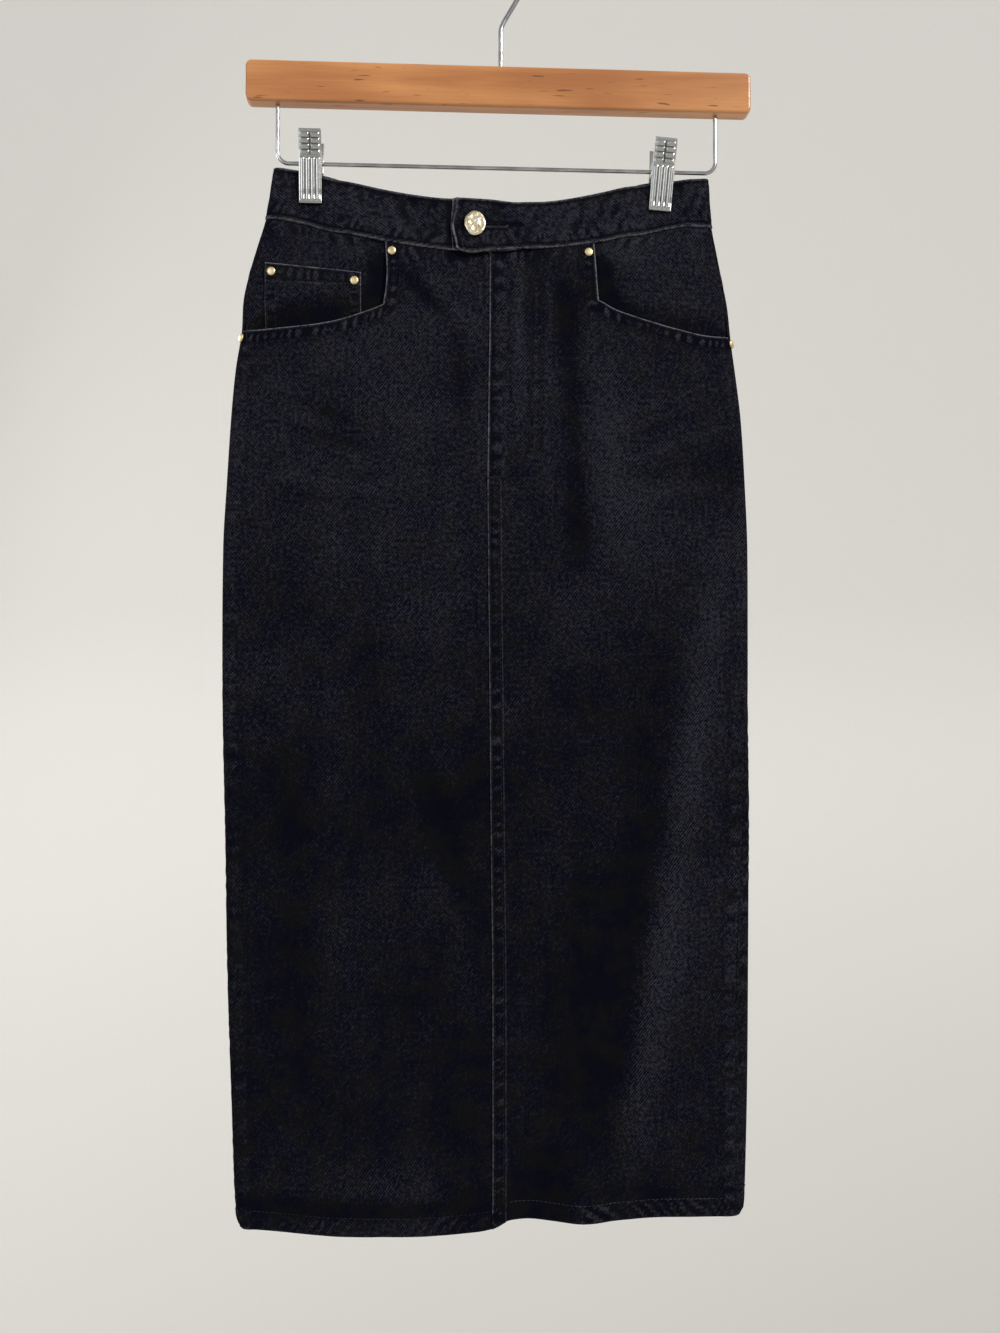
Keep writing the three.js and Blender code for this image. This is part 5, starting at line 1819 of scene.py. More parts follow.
@dataclass
class Waistband:
    """The three pieces of the waistband: the underlap, the tab over it and the back."""

    form: SkirtForm
    finishes: Finishes
    step: float = 1.7
    height: float = 36.0
    tab_width: float = 190.0
    underlap_width: float = 180.0
    back_spans: tuple[float, float] = (9.0, 155.0)
    hole_share: float = 0.526
    stitch_low: float = 2.6
    stitch_top: float = 1.9
    stitch_end: float = 2.3
    rounding: float = 0.9

    def _rows(self, side: Side) -> Spans:
        """Rows from the top edge to the seam, two of them along the buttonhole.

        Args:
            side: which half.

        Returns:
            The rows.
        """
        form = self.form

        def line(share: float) -> Guide:
            """A line at a share of the way down the band."""
            return lambda g: lerp(form.top_height(side, g), form.seam_height(side, g) + GAP / 2, share)

        hole, half = self.hole_share, BUTTON.slit / 2 / self.height
        shares = [0.0, hole - half, hole + half, 1.0]
        lengths = [self.height * (b - a) for a, b in zip(shares, shares[1:])]
        creases = [self.stitch_top, self.height - self.stitch_low]
        return Spans([line(s) for s in shares], lengths, self.step, creases)

    def _underlap_end(self, z: Array) -> Array:
        """Girth of the underlap's end."""
        return self.form.seam(z) - UNDERLAP_END

    def _tab_end(self, z: Array) -> Array:
        """Girth of the tab's end, which bows out a little at its middle."""
        return TAB_END - 3.4 - 1.3 * ridge(z, -209.0, 10.0) - self.form.seam(z)

    @staticmethod
    def tab_crest(z: Array) -> Array:
        """X of the crest of the fold at the tab's end."""
        return TAB_END + 0.2 - 3.2 * ridge(z, -210.5, 9.5)

    def _shape(self, made: Cloth, seed: int) -> Array:
        """Shapes what the three pieces share.

        Args:
            made: the cloth.
            seed: of its puckers.

        Returns:
            The distance from the nearer long edge.
        """
        q, below = made.q, made.to_end[1]
        made.outer += BAND_PROUD
        made.inner = np.full_like(q, -BAND_DEEP)
        x = self.form.x_at(made.side, made.girth, made.z)
        free = 1 - self.form.pinch(x, made.z)
        uneven = np.clip(0.5 + 0.8 * Ripples(seed + 5, 16, 60, 10).at(made.p, q), 0.0, 1.2)
        loose = 0.6 * free * uneven
        made.gather(q, made.p, (2.4, self.height - 3.2), 11.5, 0.24, seed, slant=0.55, where=loose)
        made.gather(below, made.p, (2.6, 12.0), 8.0, 0.09, seed + 4, slant=0.5, where=free)
        made.gather(below, made.p, (-1.6, 4.0), 5.0, 0.11, seed + 1, slant=1.8, where=free)
        made.gather(q, made.p, (0.1, 2.2), 4.6, 0.12, seed + 2, where=free)
        made.groove(below - self.stitch_low, depth=0.4)
        made.groove(q - self.stitch_top, depth=0.28)
        made.outer += 0.22 * ridge(below, 1.1, 0.9)
        made.wear += 0.80 * ridge(below, 0.3, 0.6) + 0.60 * ridge(q, 0.8, 0.8)
        made.wear += 0.16 * ridge(below, 1.9, 0.6)
        # Painted highlight on the rolled lower edge, and painted shade in the grooves of the lower and top
        # stitch rows.
        made.fade += 0.14 * ridge(below, 1.2, 1.5) - 0.70 * ridge(below, 3.3, 1.0)
        made.fade += 0.04 - 0.50 * ridge(q, 2.7, 1.0)
        return np.minimum(q, below)

    def front(self, side: Side) -> Cloth:
        """Lays the grid of a front half.

        Args:
            side: which half.

        Returns:
            The cloth.
        """
        form = self.form
        if side is Side.RIGHT:
            start, width, creases = self._tab_end, self.tab_width, [1.4, 2.4, 4.1, 6.4]
        else:
            start, width, creases = self._underlap_end, self.underlap_width, []
        columns = Spans([start, lambda z: form.side_seam(side, z)], [width], self.step, creases)
        made = Cloth(form, side, columns, self._rows(side))
        long_edges = self._shape(made, 121 + side.value)
        if side is Side.RIGHT:
            lift = form.tab_lift(made.girth, made.z)
            made.outer += lift
            made.inner += lift
            self._tab(made)
        else:
            # Painted shadow on the underlap just beside the tab's end.
            x = form.x_at(side, made.girth, made.z)
            made.fade -= 1.2 * (1 - smooth(-x, 37.4, 40.0))
        made.round_edges(np.minimum(long_edges, np.minimum(made.p, made.to_end[0])), self.rounding)
        return made

    def _tab(self, made: Cloth) -> None:
        """Finishes the tab's end and cuts its buttonhole.

        Args:
            made: the cloth.
        """
        x = self.form.x_at(made.side, made.girth, made.z)
        past = x - self.tab_crest(made.z)
        low = 1 - smooth(made.z, -214.0, -206.0)
        made.outer -= 2.1 * smooth(-past, 0.2, 2.6)
        # The upper part of the folded end face: a painted highlight, a little rubbed; in the lower part a
        # line of painted shade in the split beside the crest.
        end_highlight = smooth(-past, 0.0, 0.8) * (1 - low)
        made.wear += (0.50 + 0.7 * low) * ridge(past, 0.0, 0.75) + 0.45 * ridge(made.p, 0.3, 0.5)
        made.wear += 0.22 * end_highlight
        made.fade += 1.1 * end_highlight - 1.2 * low * ridge(past, -1.5, 0.7)
        made.groove(past - self.stitch_end, depth=0.4)
        # Painted shade in the end's stitch groove.
        made.fade -= 0.45 * ridge(past, 2.4, 1.1)
        made.z -= 1.9 * ridge(x, -21.0, 8.0) * smooth(made.q, self.height - 12.0, self.height)
        row = made.z - (BUTTON.z - 0.9)
        near = smooth(x, BUTTON.x - 1, BUTTON.x + 5) * (1 - smooth(x, BUTTON.hole_end, BUTTON.hole_end + 1.5))
        made.outer += near * (0.35 * ridge(row, 1.7, 0.8) - 0.8 * np.exp(-((row / 1.4) ** 2)))
        # Painted shade round the buttonhole, below it and above its upper lip.
        made.fade -= 0.9 * near * (ridge(row, -0.9, 1.3) + 0.7 * ridge(row, 3.0, 1.0))
        beyond = smooth(x, 0.0, 3.0) * (1 - smooth(x, 12, 20))
        wedge = np.exp(-(((made.z - BUTTON.z - 0.6) / 1.5) ** 2))
        made.outer -= 0.8 * beyond * wedge
        # Painted shade in the crease beyond the buttonhole's end.
        made.fade -= 1.2 * beyond * wedge
        x, z, q = (made.middle(values) for values in (x, made.z, made.q))
        low, high = made.rows.knots[1:3]
        slit = (q > low) & (q < high) & (x > BUTTON.x) & (x < BUTTON.hole_end)
        eye = np.hypot(x - BUTTON.x, z - BUTTON.z) < BUTTON.eye
        made.present = ~(slit | eye)

    def back(self, side: Side) -> Cloth:
        """Lays the grid of half of the back, up to the centre.

        Args:
            side: which half.

        Returns:
            The cloth.
        """
        form = self.form
        columns = Spans(
            [
                lambda z: form.side_seam(side, z) + GAP,
                lambda z: form.half(side, z).flat + form.half(side, z).turn,
                lambda z: form.half(side, z).whole,
            ],
            self.back_spans,
            self.step,
        )
        made = Cloth(form, side, columns, self._rows(side))
        long_edges = self._shape(made, 131 + side.value)
        made.round_edges(np.minimum(long_edges, np.minimum(made.p, 50.0)), self.rounding)
        return made

    def build(self) -> list[Piece]:
        """Makes the three pieces."""
        made = []
        for name, side in (("underlap", Side.LEFT), ("tab", Side.RIGHT)):
            cloth, node = self.front(side), f"waistband_{name}"
            piece = settle(cloth.mesh(f"{node}_cloth"), self.finishes.band, "waistband_denim", node)
            made.append(declare(piece, [f"clip_front_{side.label}"], cloth))
        return [*made, self._join_back()]

    def _join_back(self) -> Piece:
        """Joins the halves of the back into one piece."""
        halves = [self.back(side) for side in Side]
        objects = [cloth.mesh(f"waistband_back_{cloth.side.label}") for cloth in halves]
        with bpy.context.temp_override(active_object=objects[0], selected_editable_objects=objects):
            bpy.ops.object.join()
        piece = objects[0]
        piece.name = "waistband_back_cloth"
        weld(piece, 0.05)
        settle(piece, self.finishes.band, "waistband_denim", "waistband_back")
        return declare(piece, ["clip_back_left", "clip_back_right"], *halves)


def weld(piece: Piece, distance: float) -> None:
    """Joins points that lie together, and drops the walls between them.

    Args:
        piece: the object.
        distance: within which points are joined.
    """
    made = bmesh.new()
    made.from_mesh(piece.data)
    bmesh.ops.remove_doubles(made, verts=made.verts, dist=distance * MM)
    seen: dict[frozenset, bmesh.types.BMFace] = {}
    doubled = []
    for face in made.faces:
        key = frozenset(vert.index for vert in face.verts)
        if key in seen:
            doubled += [face, seen[key]]
        seen[key] = face
    bmesh.ops.delete(made, geom=list(set(doubled)), context="FACES_ONLY")
    bmesh.ops.recalc_face_normals(made, faces=made.faces)
    made.to_mesh(piece.data)
    made.free()


# A rivet's outline from the top out and down: share of its radius, and height.
RIVET_PROFILE = (
    (0.3, 1.24), (0.6, 1.16), (0.8, 1.0), (0.9, 0.82), (0.96, 0.6), (1.0, 0.35), (1.0, 0.02), (0.9, 0.0),
)


@dataclass
class Trim:
    """The waist button and the six rivets."""

    form: SkirtForm
    finishes: Finishes
    rivet_radius: float = 3.1
    shank_radius: float = 2.0
    dents: int = 24
    dent_depth: float = 0.24
    dent_curve: float = 0.085

    def seat(self, side: Side, girth: float, z: float, offset: float) -> Callable[[Array], Array]:
        """Gives a function that stands points on the cloth, square to it.

        Args:
            side: which half.
            girth: of the middle.
            z: of the middle.
            offset: how far out their own zero lies.

        Returns:
            That function.
        """
        def at(step: float, rise: float) -> Array:
            """A point of the cloth near the middle."""
            return self.form.point(side, np.array([girth + step]), np.array([z + rise]), 0.0)[0]

        along = (at(3, 0) - at(-3, 0)) * side.value
        up = at(0, 3) - at(0, -3)
        out = np.cross(along, up)
        out /= np.linalg.norm(out)
        along /= np.linalg.norm(along)
        basis = np.stack([along, np.cross(out, along), out])
        return lambda points: at(0, 0) + out * offset + points @ basis

    def button(self) -> Piece:
        """A hammered disc with a rolled rim on its shank."""
        radius, rings, sides = BUTTON.diameter / 2, 26, 72
        draw = np.random.default_rng(5)
        dents = draw.uniform(-radius, radius, (self.dents, 2))
        depth = draw.uniform(0.0, self.dent_depth, self.dents)
        base = TAB_LIFT + GAP
        angle = circle(sides)
        wobble = 1.03 + 0.010 * np.sin(7 * angle + 2.0)
        for place, deep in ((3.75, 0.085), (0.80, 0.065), (2.2, 0.03), (5.4, 0.03)):
            wobble = wobble - deep * ridge(angle, place, 0.34)
        wobble = wobble * (0.865 + 0.165 * np.sin(angle) ** 2)
        face: list[tuple[Any, Any]] = []
        for share in np.arange(1, rings + 1) / rings:
            out = share * (radius - 0.5) * wobble
            x, y = out * np.cos(angle), out * np.sin(angle)
            dist = np.hypot(x[:, None] - dents[:, 0], y[:, None] - dents[:, 1])
            hammered = np.min(self.dent_curve * dist**2 - depth, axis=1)
            height = base + BUTTON.thick - 0.55 + hammered * (1 - 0.4 * smooth(share, 0.85, 0.95))
            face.append((out, height - 0.5 * smooth(share, 0.93, 1.0)))
        rim = [(1.0, base + BUTTON.thick - 0.9), (1.0, base + 0.9), (0.93, base + 0.25), (0.8, base)]
        edge = [(radius * share * wobble, height) for share, height in rim]
        shank = [(self.shank_radius, base), (self.shank_radius, 0.0)]
        points, faces = turned(base + BUTTON.thick - 0.3, face + edge + shank, sides)
        girth = BUTTON.x - float(self.form.seam(BUTTON.z))
        place_on = self.seat(Side.RIGHT, girth, BUTTON.z, BAND_PROUD + GAP)
        made = add_object("button_hammered", place_on(points), faces)
        return settle(made, self.finishes.gold, "gold_metal", "button")

    def rivet(self, node: str, side: Side, girth: float, z: float, offset: float) -> Piece:
        """A domed rivet with a flat burr round it.

        Args:
            node: the frame's node that it stands for.
            side: which half.
            girth: of its middle.
            z: of its middle.
            offset: of the cloth that it sits on.

        Returns:
            The piece.
        """
        rings = [(self.rivet_radius * share, height) for share, height in RIVET_PROFILE]
        points, faces = turned(1.25, rings, 40)
        made = add_object(f"{node}_dome", self.seat(side, girth, z, offset + GAP)(points), faces)
        return settle(made, self.finishes.rivet, "gold_metal", node)

    def build(self) -> list[Piece]:
        """Makes the button and the rivets."""
        form = self.form

        def at_side(side: Side, z: float) -> float:
            """Girth of a rivet on the side fold."""
            return one(lambda at: form.half(side, at).flat + form.half(side, at).fold * 0.9, z)

        def on_facing(girth: float, z: float) -> float:
            """Offset of the left facing."""
            return float(form.facing_offset(Side.LEFT, np.array([girth]), np.array([z]))[0])

        coin = GAP + DENIM
        left, right = Side.LEFT, Side.RIGHT
        near, far = on_facing(95.9, -251.5), on_facing(125.0, -246.0)
        return [
            self.button(),
            self.rivet("rivet_pocket_left", left, 69.8, -228.5, 0.0),
            self.rivet("rivet_pocket_right", right, 71.6, -226.5, 0.0),
            self.rivet("rivet_coin_near", left, 95.9, -251.5, near + coin + 0.5),
            self.rivet("rivet_coin_far", left, 155.2, -243.9, far + coin + 0.4),
            self.rivet("rivet_side_left", left, at_side(left, -290.6), -290.6, 0.1),
            self.rivet("rivet_side_right", right, at_side(right, -289.6), -289.6, 0.1),
        ]


@dataclass
class FlyZip:
    """The closed zip behind the fly: its tape and its teeth."""

    form: SkirtForm
    finishes: Finishes
    start: float = -4.0
    end: float = 30.0
    chain: tuple[float, float] = (13.0, 19.0)
    top: float = -231.0
    behind: float = DENIM + GAP + 0.1
    thick: float = 1.1
    tooth_pitch: float = 1.9

    def build(self) -> list[Piece]:
        """Makes the tape and the teeth."""
        form = self.form
        columns = Spans([level(self.start), level(self.end)], [self.end - self.start], 2.2)
        bottom = FLY_BOTTOM + 4
        rows = Spans([level(self.top), level(bottom)], [self.top - bottom], 2.6)
        tape = Cloth(form, Side.RIGHT, columns, rows)
        tape.outer = np.full_like(tape.z, -self.behind)
        tape.inner = tape.outer - self.thick
        piece = settle(tape.mesh("fly_zip_tape"), self.finishes.tape, "zip_tape", "fly_zip")
        return [declare(piece, ["front_right_cloth"], tape), self._teeth(bottom)]

    def _teeth(self, bottom: float) -> Piece:
        """Interlocked teeth down the back of the tape.

        Args:
            bottom: height of the tape's lower end.

        Returns:
            The piece.
        """
        middle = sum(self.chain) / 2
        bundle = Bundle()
        cube = np.array([[x, y, z] for x in (-1, 1) for y in (-1, 1) for z in (-1, 1)], float)
        faces = [[0, 1, 3, 2], [4, 6, 7, 5], [0, 4, 5, 1], [2, 3, 7, 6], [0, 2, 6, 4], [1, 5, 7, 3]]
        for k, z in enumerate(np.arange(self.top - 2, bottom + 2, -self.tooth_pitch / 2)):
            girth = np.array([middle + (0.9 if k % 2 else -0.9)])
            x, y, nx, ny = (float(part[0]) for part in self.form.section(Side.RIGHT, girth, np.array([z])))
            normal, across = np.array([nx, ny, 0.0]), np.array([-ny, nx, 0.0])
            centre = np.array([x, y, z]) - normal * (self.behind + self.thick + 0.55)
            size = np.stack([across * 1.9, normal * 0.5, np.array([0.0, 0.0, 0.34])])
            bundle.add(centre + cube @ size, faces)
        return settle(bundle.build("fly_zip_teeth"), self.finishes.satin, "zip_tape")


@dataclass
class Hanger:
    """The wooden bar, the hook above it and the wire rod below it."""

    finishes: Finishes
    corner: float = 4.5
    edge: float = 2.0
    wire: float = 3.5
    hook_radius: float = 20.0
    hook_tip: float = 200.0
    socket: float = 16.0
    rod_wire: float = 3.0
    rod_middle: float = -1.5
    rod_half: float = 159.5
    rod_bend: float = 8.0

    def bar(self) -> Piece:
        """A rounded bar, in the frame's box."""
        low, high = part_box("hanger_bar")
        made = bmesh.new()
        bmesh.ops.create_cube(made, size=1.0)
        size = Vector(high) - Vector(low)
        middle = (Vector(high) + Vector(low)) / 2
        for vert in made.verts:
            vert.co = Vector(a * b for a, b in zip(vert.co, size)) + middle
        upright = [e for e in made.edges if abs((e.verts[0].co - e.verts[1].co).y) > size.y * 0.9]
        bmesh.ops.bevel(made, geom=upright, offset=self.corner * MM, segments=8, profile=0.5, affect="EDGES")
        faces = [f for f in made.faces if abs(f.normal.y) > 0.9]
        rim = list({e for f in faces for e in f.edges})
        bmesh.ops.bevel(made, geom=rim, offset=self.edge * MM, segments=6, profile=0.5, affect="EDGES")
        mesh = bpy.data.meshes.new("hanger_bar_wood")
        made.to_mesh(mesh)
        made.free()
        mesh.polygons.foreach_set("use_smooth", [True] * len(mesh.polygons))
        piece = bpy.data.objects.new("hanger_bar_wood", mesh)
        bpy.context.scene.collection.objects.link(piece)
        weighted = piece.modifiers.new("even", "WEIGHTED_NORMAL")
        weighted.keep_sharp = True
        return settle(piece, self.finishes.wood, "wood", "hanger_bar")

    def hook(self) -> Piece:
        """The hook's stem, its lean and its arc over the rail."""
        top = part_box("hanger_bar")[1][2] / MM
        centre = self.wire / 2 - self.hook_radius
        bend = centre - 2 * self.hook_radius
        slope = math.radians(60.0)
        start = [[0, 0, z] for z in np.linspace(top - self.socket + GAP, bend - 3.5, 12)]
        soft = [[0.05, 0, bend - 2.4], [0.35, 0, bend - 0.8], [0.9, 0, bend + 0.9]]
        bow = arc(0, centre, self.hook_radius, -30, self.hook_tip, 72)
        x, _, z = bow[0]
        lean = [[x - t * math.cos(slope), 0, z - t * math.sin(slope)] for t in (30, 24, 18, 12, 6)]
        lean = [point for point in lean if point[2] > bend + 2.0]
        path = np.concatenate([start, soft, lean, bow])
        wire = add_object("hanger_hook_wire", *tube(path, self.wire / 2, 20))
        return settle(wire, self.finishes.chrome, "chromed_steel", "hanger_hook")

    def rod(self) -> Piece:
        """The rod's two drops and the straight run that the clips ride on."""
        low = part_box("hanger_bar")[0][2] / MM
        left, right = self.rod_middle - self.rod_half, self.rod_middle + self.rod_half
        top, bend = low + self.socket - GAP, self.rod_bend
        drop = [[left, 0, z] for z in np.linspace(top, ROD_Z + bend + 2, 14)]
        path = np.concatenate([
            drop,
            arc(left + bend, ROD_Z + bend, bend, 180, 270, 14),
            [[x, 0, ROD_Z] for x in np.linspace(left + bend + 4, right - bend - 4, 40)],
            arc(right - bend, ROD_Z + bend, bend, 270, 360, 14),
            [[right, 0, z] for z in np.linspace(ROD_Z + bend + 2, top, 14)],
        ])
        wire = add_object("hanger_rod_wire", *tube(path, self.rod_wire / 2, 16))
        return settle(wire, self.finishes.chrome, "chromed_steel", "hanger_rod")

    def build(self) -> list[Piece]:
        """Makes the hanger's three pieces."""
        return [self.bar(), self.hook(), self.rod()]


class JawPoint(NamedTuple):
    """Middle of a jaw's plate: its distance from the rod's plane, and its height about the rod."""

    y: float
    z: float


JAW = (
    JawPoint(11.3, 20.4), JawPoint(7.4, 6.0), JawPoint(6.4, -4.0),
    JawPoint(4.6, -20.6), JawPoint(3.9, -24.0), JawPoint(3.9, -30.4),
)


@dataclass
class Clip:
    """A sprung clip: two pressed jaws that turn on the rod, and the spring between them."""

    finishes: Finishes
    place: ClipPlace
    width: float = 16.3
    plate: float = 1.5
    ear: float = 1.2
    ear_radius: float = 4.4
    ear_edge: float = 0.25
    edge: float = 0.6
    rib: float = 0.8
    rib_pitch: float = 3.7
    grip_pitch: float = 3.8
    fine: float = 0.42
    spring_wire: float = 1.1
    coil: float = 3.0
    turns: float = 3.5
    coil_half: float = 3.2
    arm_y: float = 7.7
    arm_z: float = 14.0

    def _stand(self, points: Array) -> Array:
        """Leans points about the rod and moves them to the clip's place."""
        sin, cos = math.sin(self.place.lean), math.cos(self.place.lean)
        x, y, z = points.T
        return np.stack([self.place.x + x * cos + z * sin, y, ROD_Z - x * sin + z * cos], axis=1)

    def _relief(self, u: Array, z: Array) -> tuple[Array, Array]:
        """The pressed ribs and grips of the plate.

        Args:
            u: distance across from its middle.
            z: height about the rod.

        Returns:
            How far they stand out, and how much painted shade darkens the gaps between them.
        """
        across = np.abs(((u / self.rib_pitch) % 1.0) - 0.5) * 2
        inside = (1 - smooth(np.abs(u), 7.1, 7.5)) * smooth(z, -28.6, -27.6) * (1 - smooth(z, 0.6, 1.8))
        flutes = np.sqrt(np.clip(1 - (across / 0.82) ** 2, 0, 1))
        down = np.abs((((z - 5.0) / self.grip_pitch + 0.5) % 1.0) - 0.5) * 2
        window = smooth(z, 3.0, 3.6) * (1 - smooth(z, 17.9, 18.5)) * (1 - smooth(np.abs(u), 6.2, 7.0))
        bumps = np.sqrt(np.clip(1 - (down / 0.78) ** 2, 0, 1)) * smooth(np.abs(u), 0.45, 1.3)
        foot = 0.45 * (1 - smooth(z, -30.2, -28.9))
        between = smooth(down, 0.66, 0.9) * (1 - smooth(np.abs(u), 5.4, 6.4))
        gaps = np.maximum(between, 1 - smooth(np.abs(u), 0.4, 1.1))
        # Painted shade in the flutes' valleys and in the gaps between the grips.
        dark = inside * smooth(across, 0.50, 0.82) + window * gaps
        return self.rib * (flutes * inside + 1.1 * bumps * window) + foot, np.clip(dark, 0, 1)

    def _plate(self) -> tuple[Array, list[list[int]], Array]:
        """The bent plate, its outside pressed into ribs, and how much painted shade darkens each of its
        points.
        """
        path = np.array(JAW, float)
        steps = distances(path)
        rim = np.array([0.0, 0.15, 0.45])
        run = np.concatenate([rim, np.arange(0.9, steps[-1] - 0.6, self.fine), steps[-1] - rim[::-1]])
        kernel = np.hanning(9)[1:-1]
        kernel /= kernel.sum()
        fine = (np.pad(np.interp(run, steps, line), 3, mode="reflect", reflect_type="odd") for line in path.T)
        soft = np.stack([np.convolve(line, kernel, "valid") for line in fine], axis=1)
        slope = np.gradient(soft, axis=0)
        slope /= np.linalg.norm(slope, axis=1)[:, None]
        out = np.stack([-slope[:, 1], slope[:, 0]], axis=1)
        out *= np.sign(out[:, :1])
        half = self.width / 2
        rim = np.array([0.0, 0.12, 0.4])
        u = np.concatenate([rim - half, np.linspace(0.8 - half, half - 0.8, 46), half - rim[::-1]])
        uu, k = np.meshgrid(u, np.arange(len(run)))
        z = soft[k, 1]
        near_u = np.clip(1 - (half - np.abs(uu)) / self.edge, 0, 1)
        near_v = np.clip(1 - np.minimum(run[k], steps[-1] - run[k]) / self.edge, 0, 1)
        drop = 0.4 * (1 - np.sqrt(np.clip(1 - np.maximum(near_u, near_v) ** 2, 0, 1)))
        relief, dark = self._relief(uu, z)
        top = self.plate / 2 + relief - drop
        bottom = -self.plate / 2 + drop * 0.7
        outer = np.stack([uu, soft[k, 0] + out[k, 0] * top, z + out[k, 1] * top], axis=-1)
        inner = np.stack([uu, soft[k, 0] + out[k, 0] * bottom, z + out[k, 1] * bottom], axis=-1)
        count = uu.size
        index = np.arange(count).reshape(uu.shape)
        corners = [index[:-1, :-1], index[:-1, 1:], index[1:, 1:], index[1:, :-1]]
        quads = np.stack(corners, axis=-1).reshape(-1, 4)
        border = [*index[0, :], *index[1:, -1], *index[-1, -2::-1], *index[-2:0:-1, 0]]
        edge = [[b, a, a + count, b + count] for a, b in zip(border, border[1:] + border[:1])]
        faces = np.concatenate([quads, quads[:, ::-1] + count, edge]).tolist()
        hollow = np.concatenate([dark.ravel(), np.zeros(count)])
        return np.concatenate([outer.reshape(-1, 3), inner.reshape(-1, 3)]), faces, hollow

    def _ear(self, x: float) -> tuple[Array, list[list[int]]]:
        """A flat ear that turns on the rod.

        Args:
            x: of its middle.

        Returns:
            Its points and faces.
        """
        angle = np.linspace(math.pi / 2, 1.5 * math.pi, 25)
        bow = self.ear_radius * np.stack([np.cos(angle), np.sin(angle)], axis=1)
        outline = np.concatenate([[(7.2, 5.0)], bow, [(6.6, -5.0)]])
        inward = outline.mean(axis=0) - outline
        inward /= np.linalg.norm(inward, axis=1)[:, None]
        half, soft, count = self.ear / 2, self.ear_edge, len(outline)
        layers = ((-half, soft), (soft - half, 0.0), (half - soft, 0.0), (half, soft))
        points = [np.insert(outline + inward * inset, 0, x + off, axis=1) for off, inset in layers]
        ends = [list(range(count))[::-1], [3 * count + k for k in range(count)]]
        return np.concatenate(points), ends + bands(len(layers), count)

    def jaw(self, face: Face) -> Piece:
        """One jaw: its plate and its two ears.

        Args:
            face: the side of the waistband that it grips.

        Returns:
            The piece.
        """
        bundle = Bundle()
        points, faces, hollow = self._plate()
        bundle.add(points, faces)
        ear_x = self.width / 2 - self.ear / 2 - (self.ear + GAP if face is Face.BACK else 0.0)
        for end in (-1, 1):
            bundle.add(*self._ear(end * ear_x))
        name = f"clip_{face.label}_{self.place.side.label}"

        def stand(points: Array) -> Array:
            """Turns the jaw to its side and stands it on the rod."""
            return self._stand(points * (1.0, float(face.value), 1.0))

        piece = bundle.build(f"{name}_plate", stand)
        marks = np.zeros(len(piece.data.vertices))
        marks[: len(hollow)] = hollow
        piece.data.attributes.new("hollow", "FLOAT", "POINT").data.foreach_set("value", marks)
        made = bmesh.new()
        made.from_mesh(piece.data)
        bmesh.ops.recalc_face_normals(made, faces=made.faces)
        made.to_mesh(piece.data)
        made.free()
        return settle(piece, self.finishes.satin, "chromed_steel", name)

    def spring(self) -> Piece:
        """The torsion spring round the rod, with an arm against each lever."""
        share = np.linspace(0, 1, 121)
        angle = math.pi + 2 * math.pi * self.turns * share
        across = lerp(-self.coil_half, self.coil_half, share)
        coil = np.stack([across, self.coil * np.cos(angle), self.coil * np.sin(angle)], axis=1)
        arms = [np.array([end * self.coil_half, end * self.arm_y, self.arm_z]) for end in (-1, 1)]
        first = [lerp(arms[0], coil[0], t) for t in np.linspace(0, 0.92, 8)]
        last = [lerp(coil[-1], arms[1], t) for t in np.linspace(0.08, 1, 8)]
        points, faces = tube(np.concatenate([first, coil, last]), self.spring_wire / 2, 10)
        name = f"clip_spring_{self.place.side.label}"
        made = add_object(f"{name}_coil", self._stand(points), faces)
        return settle(made, self.finishes.chrome, "chromed_steel", name)

    def build(self) -> list[Piece]:
        """Makes the jaws and the spring."""
        return [self.jaw(Face.FRONT), self.jaw(Face.BACK), self.spring()]


class Run(NamedTuple):
    """A row of stitches: its path on one half of the skirt, and how far out it lies."""

    side: Side
    girth: Array
    z: Array
    offset: Array


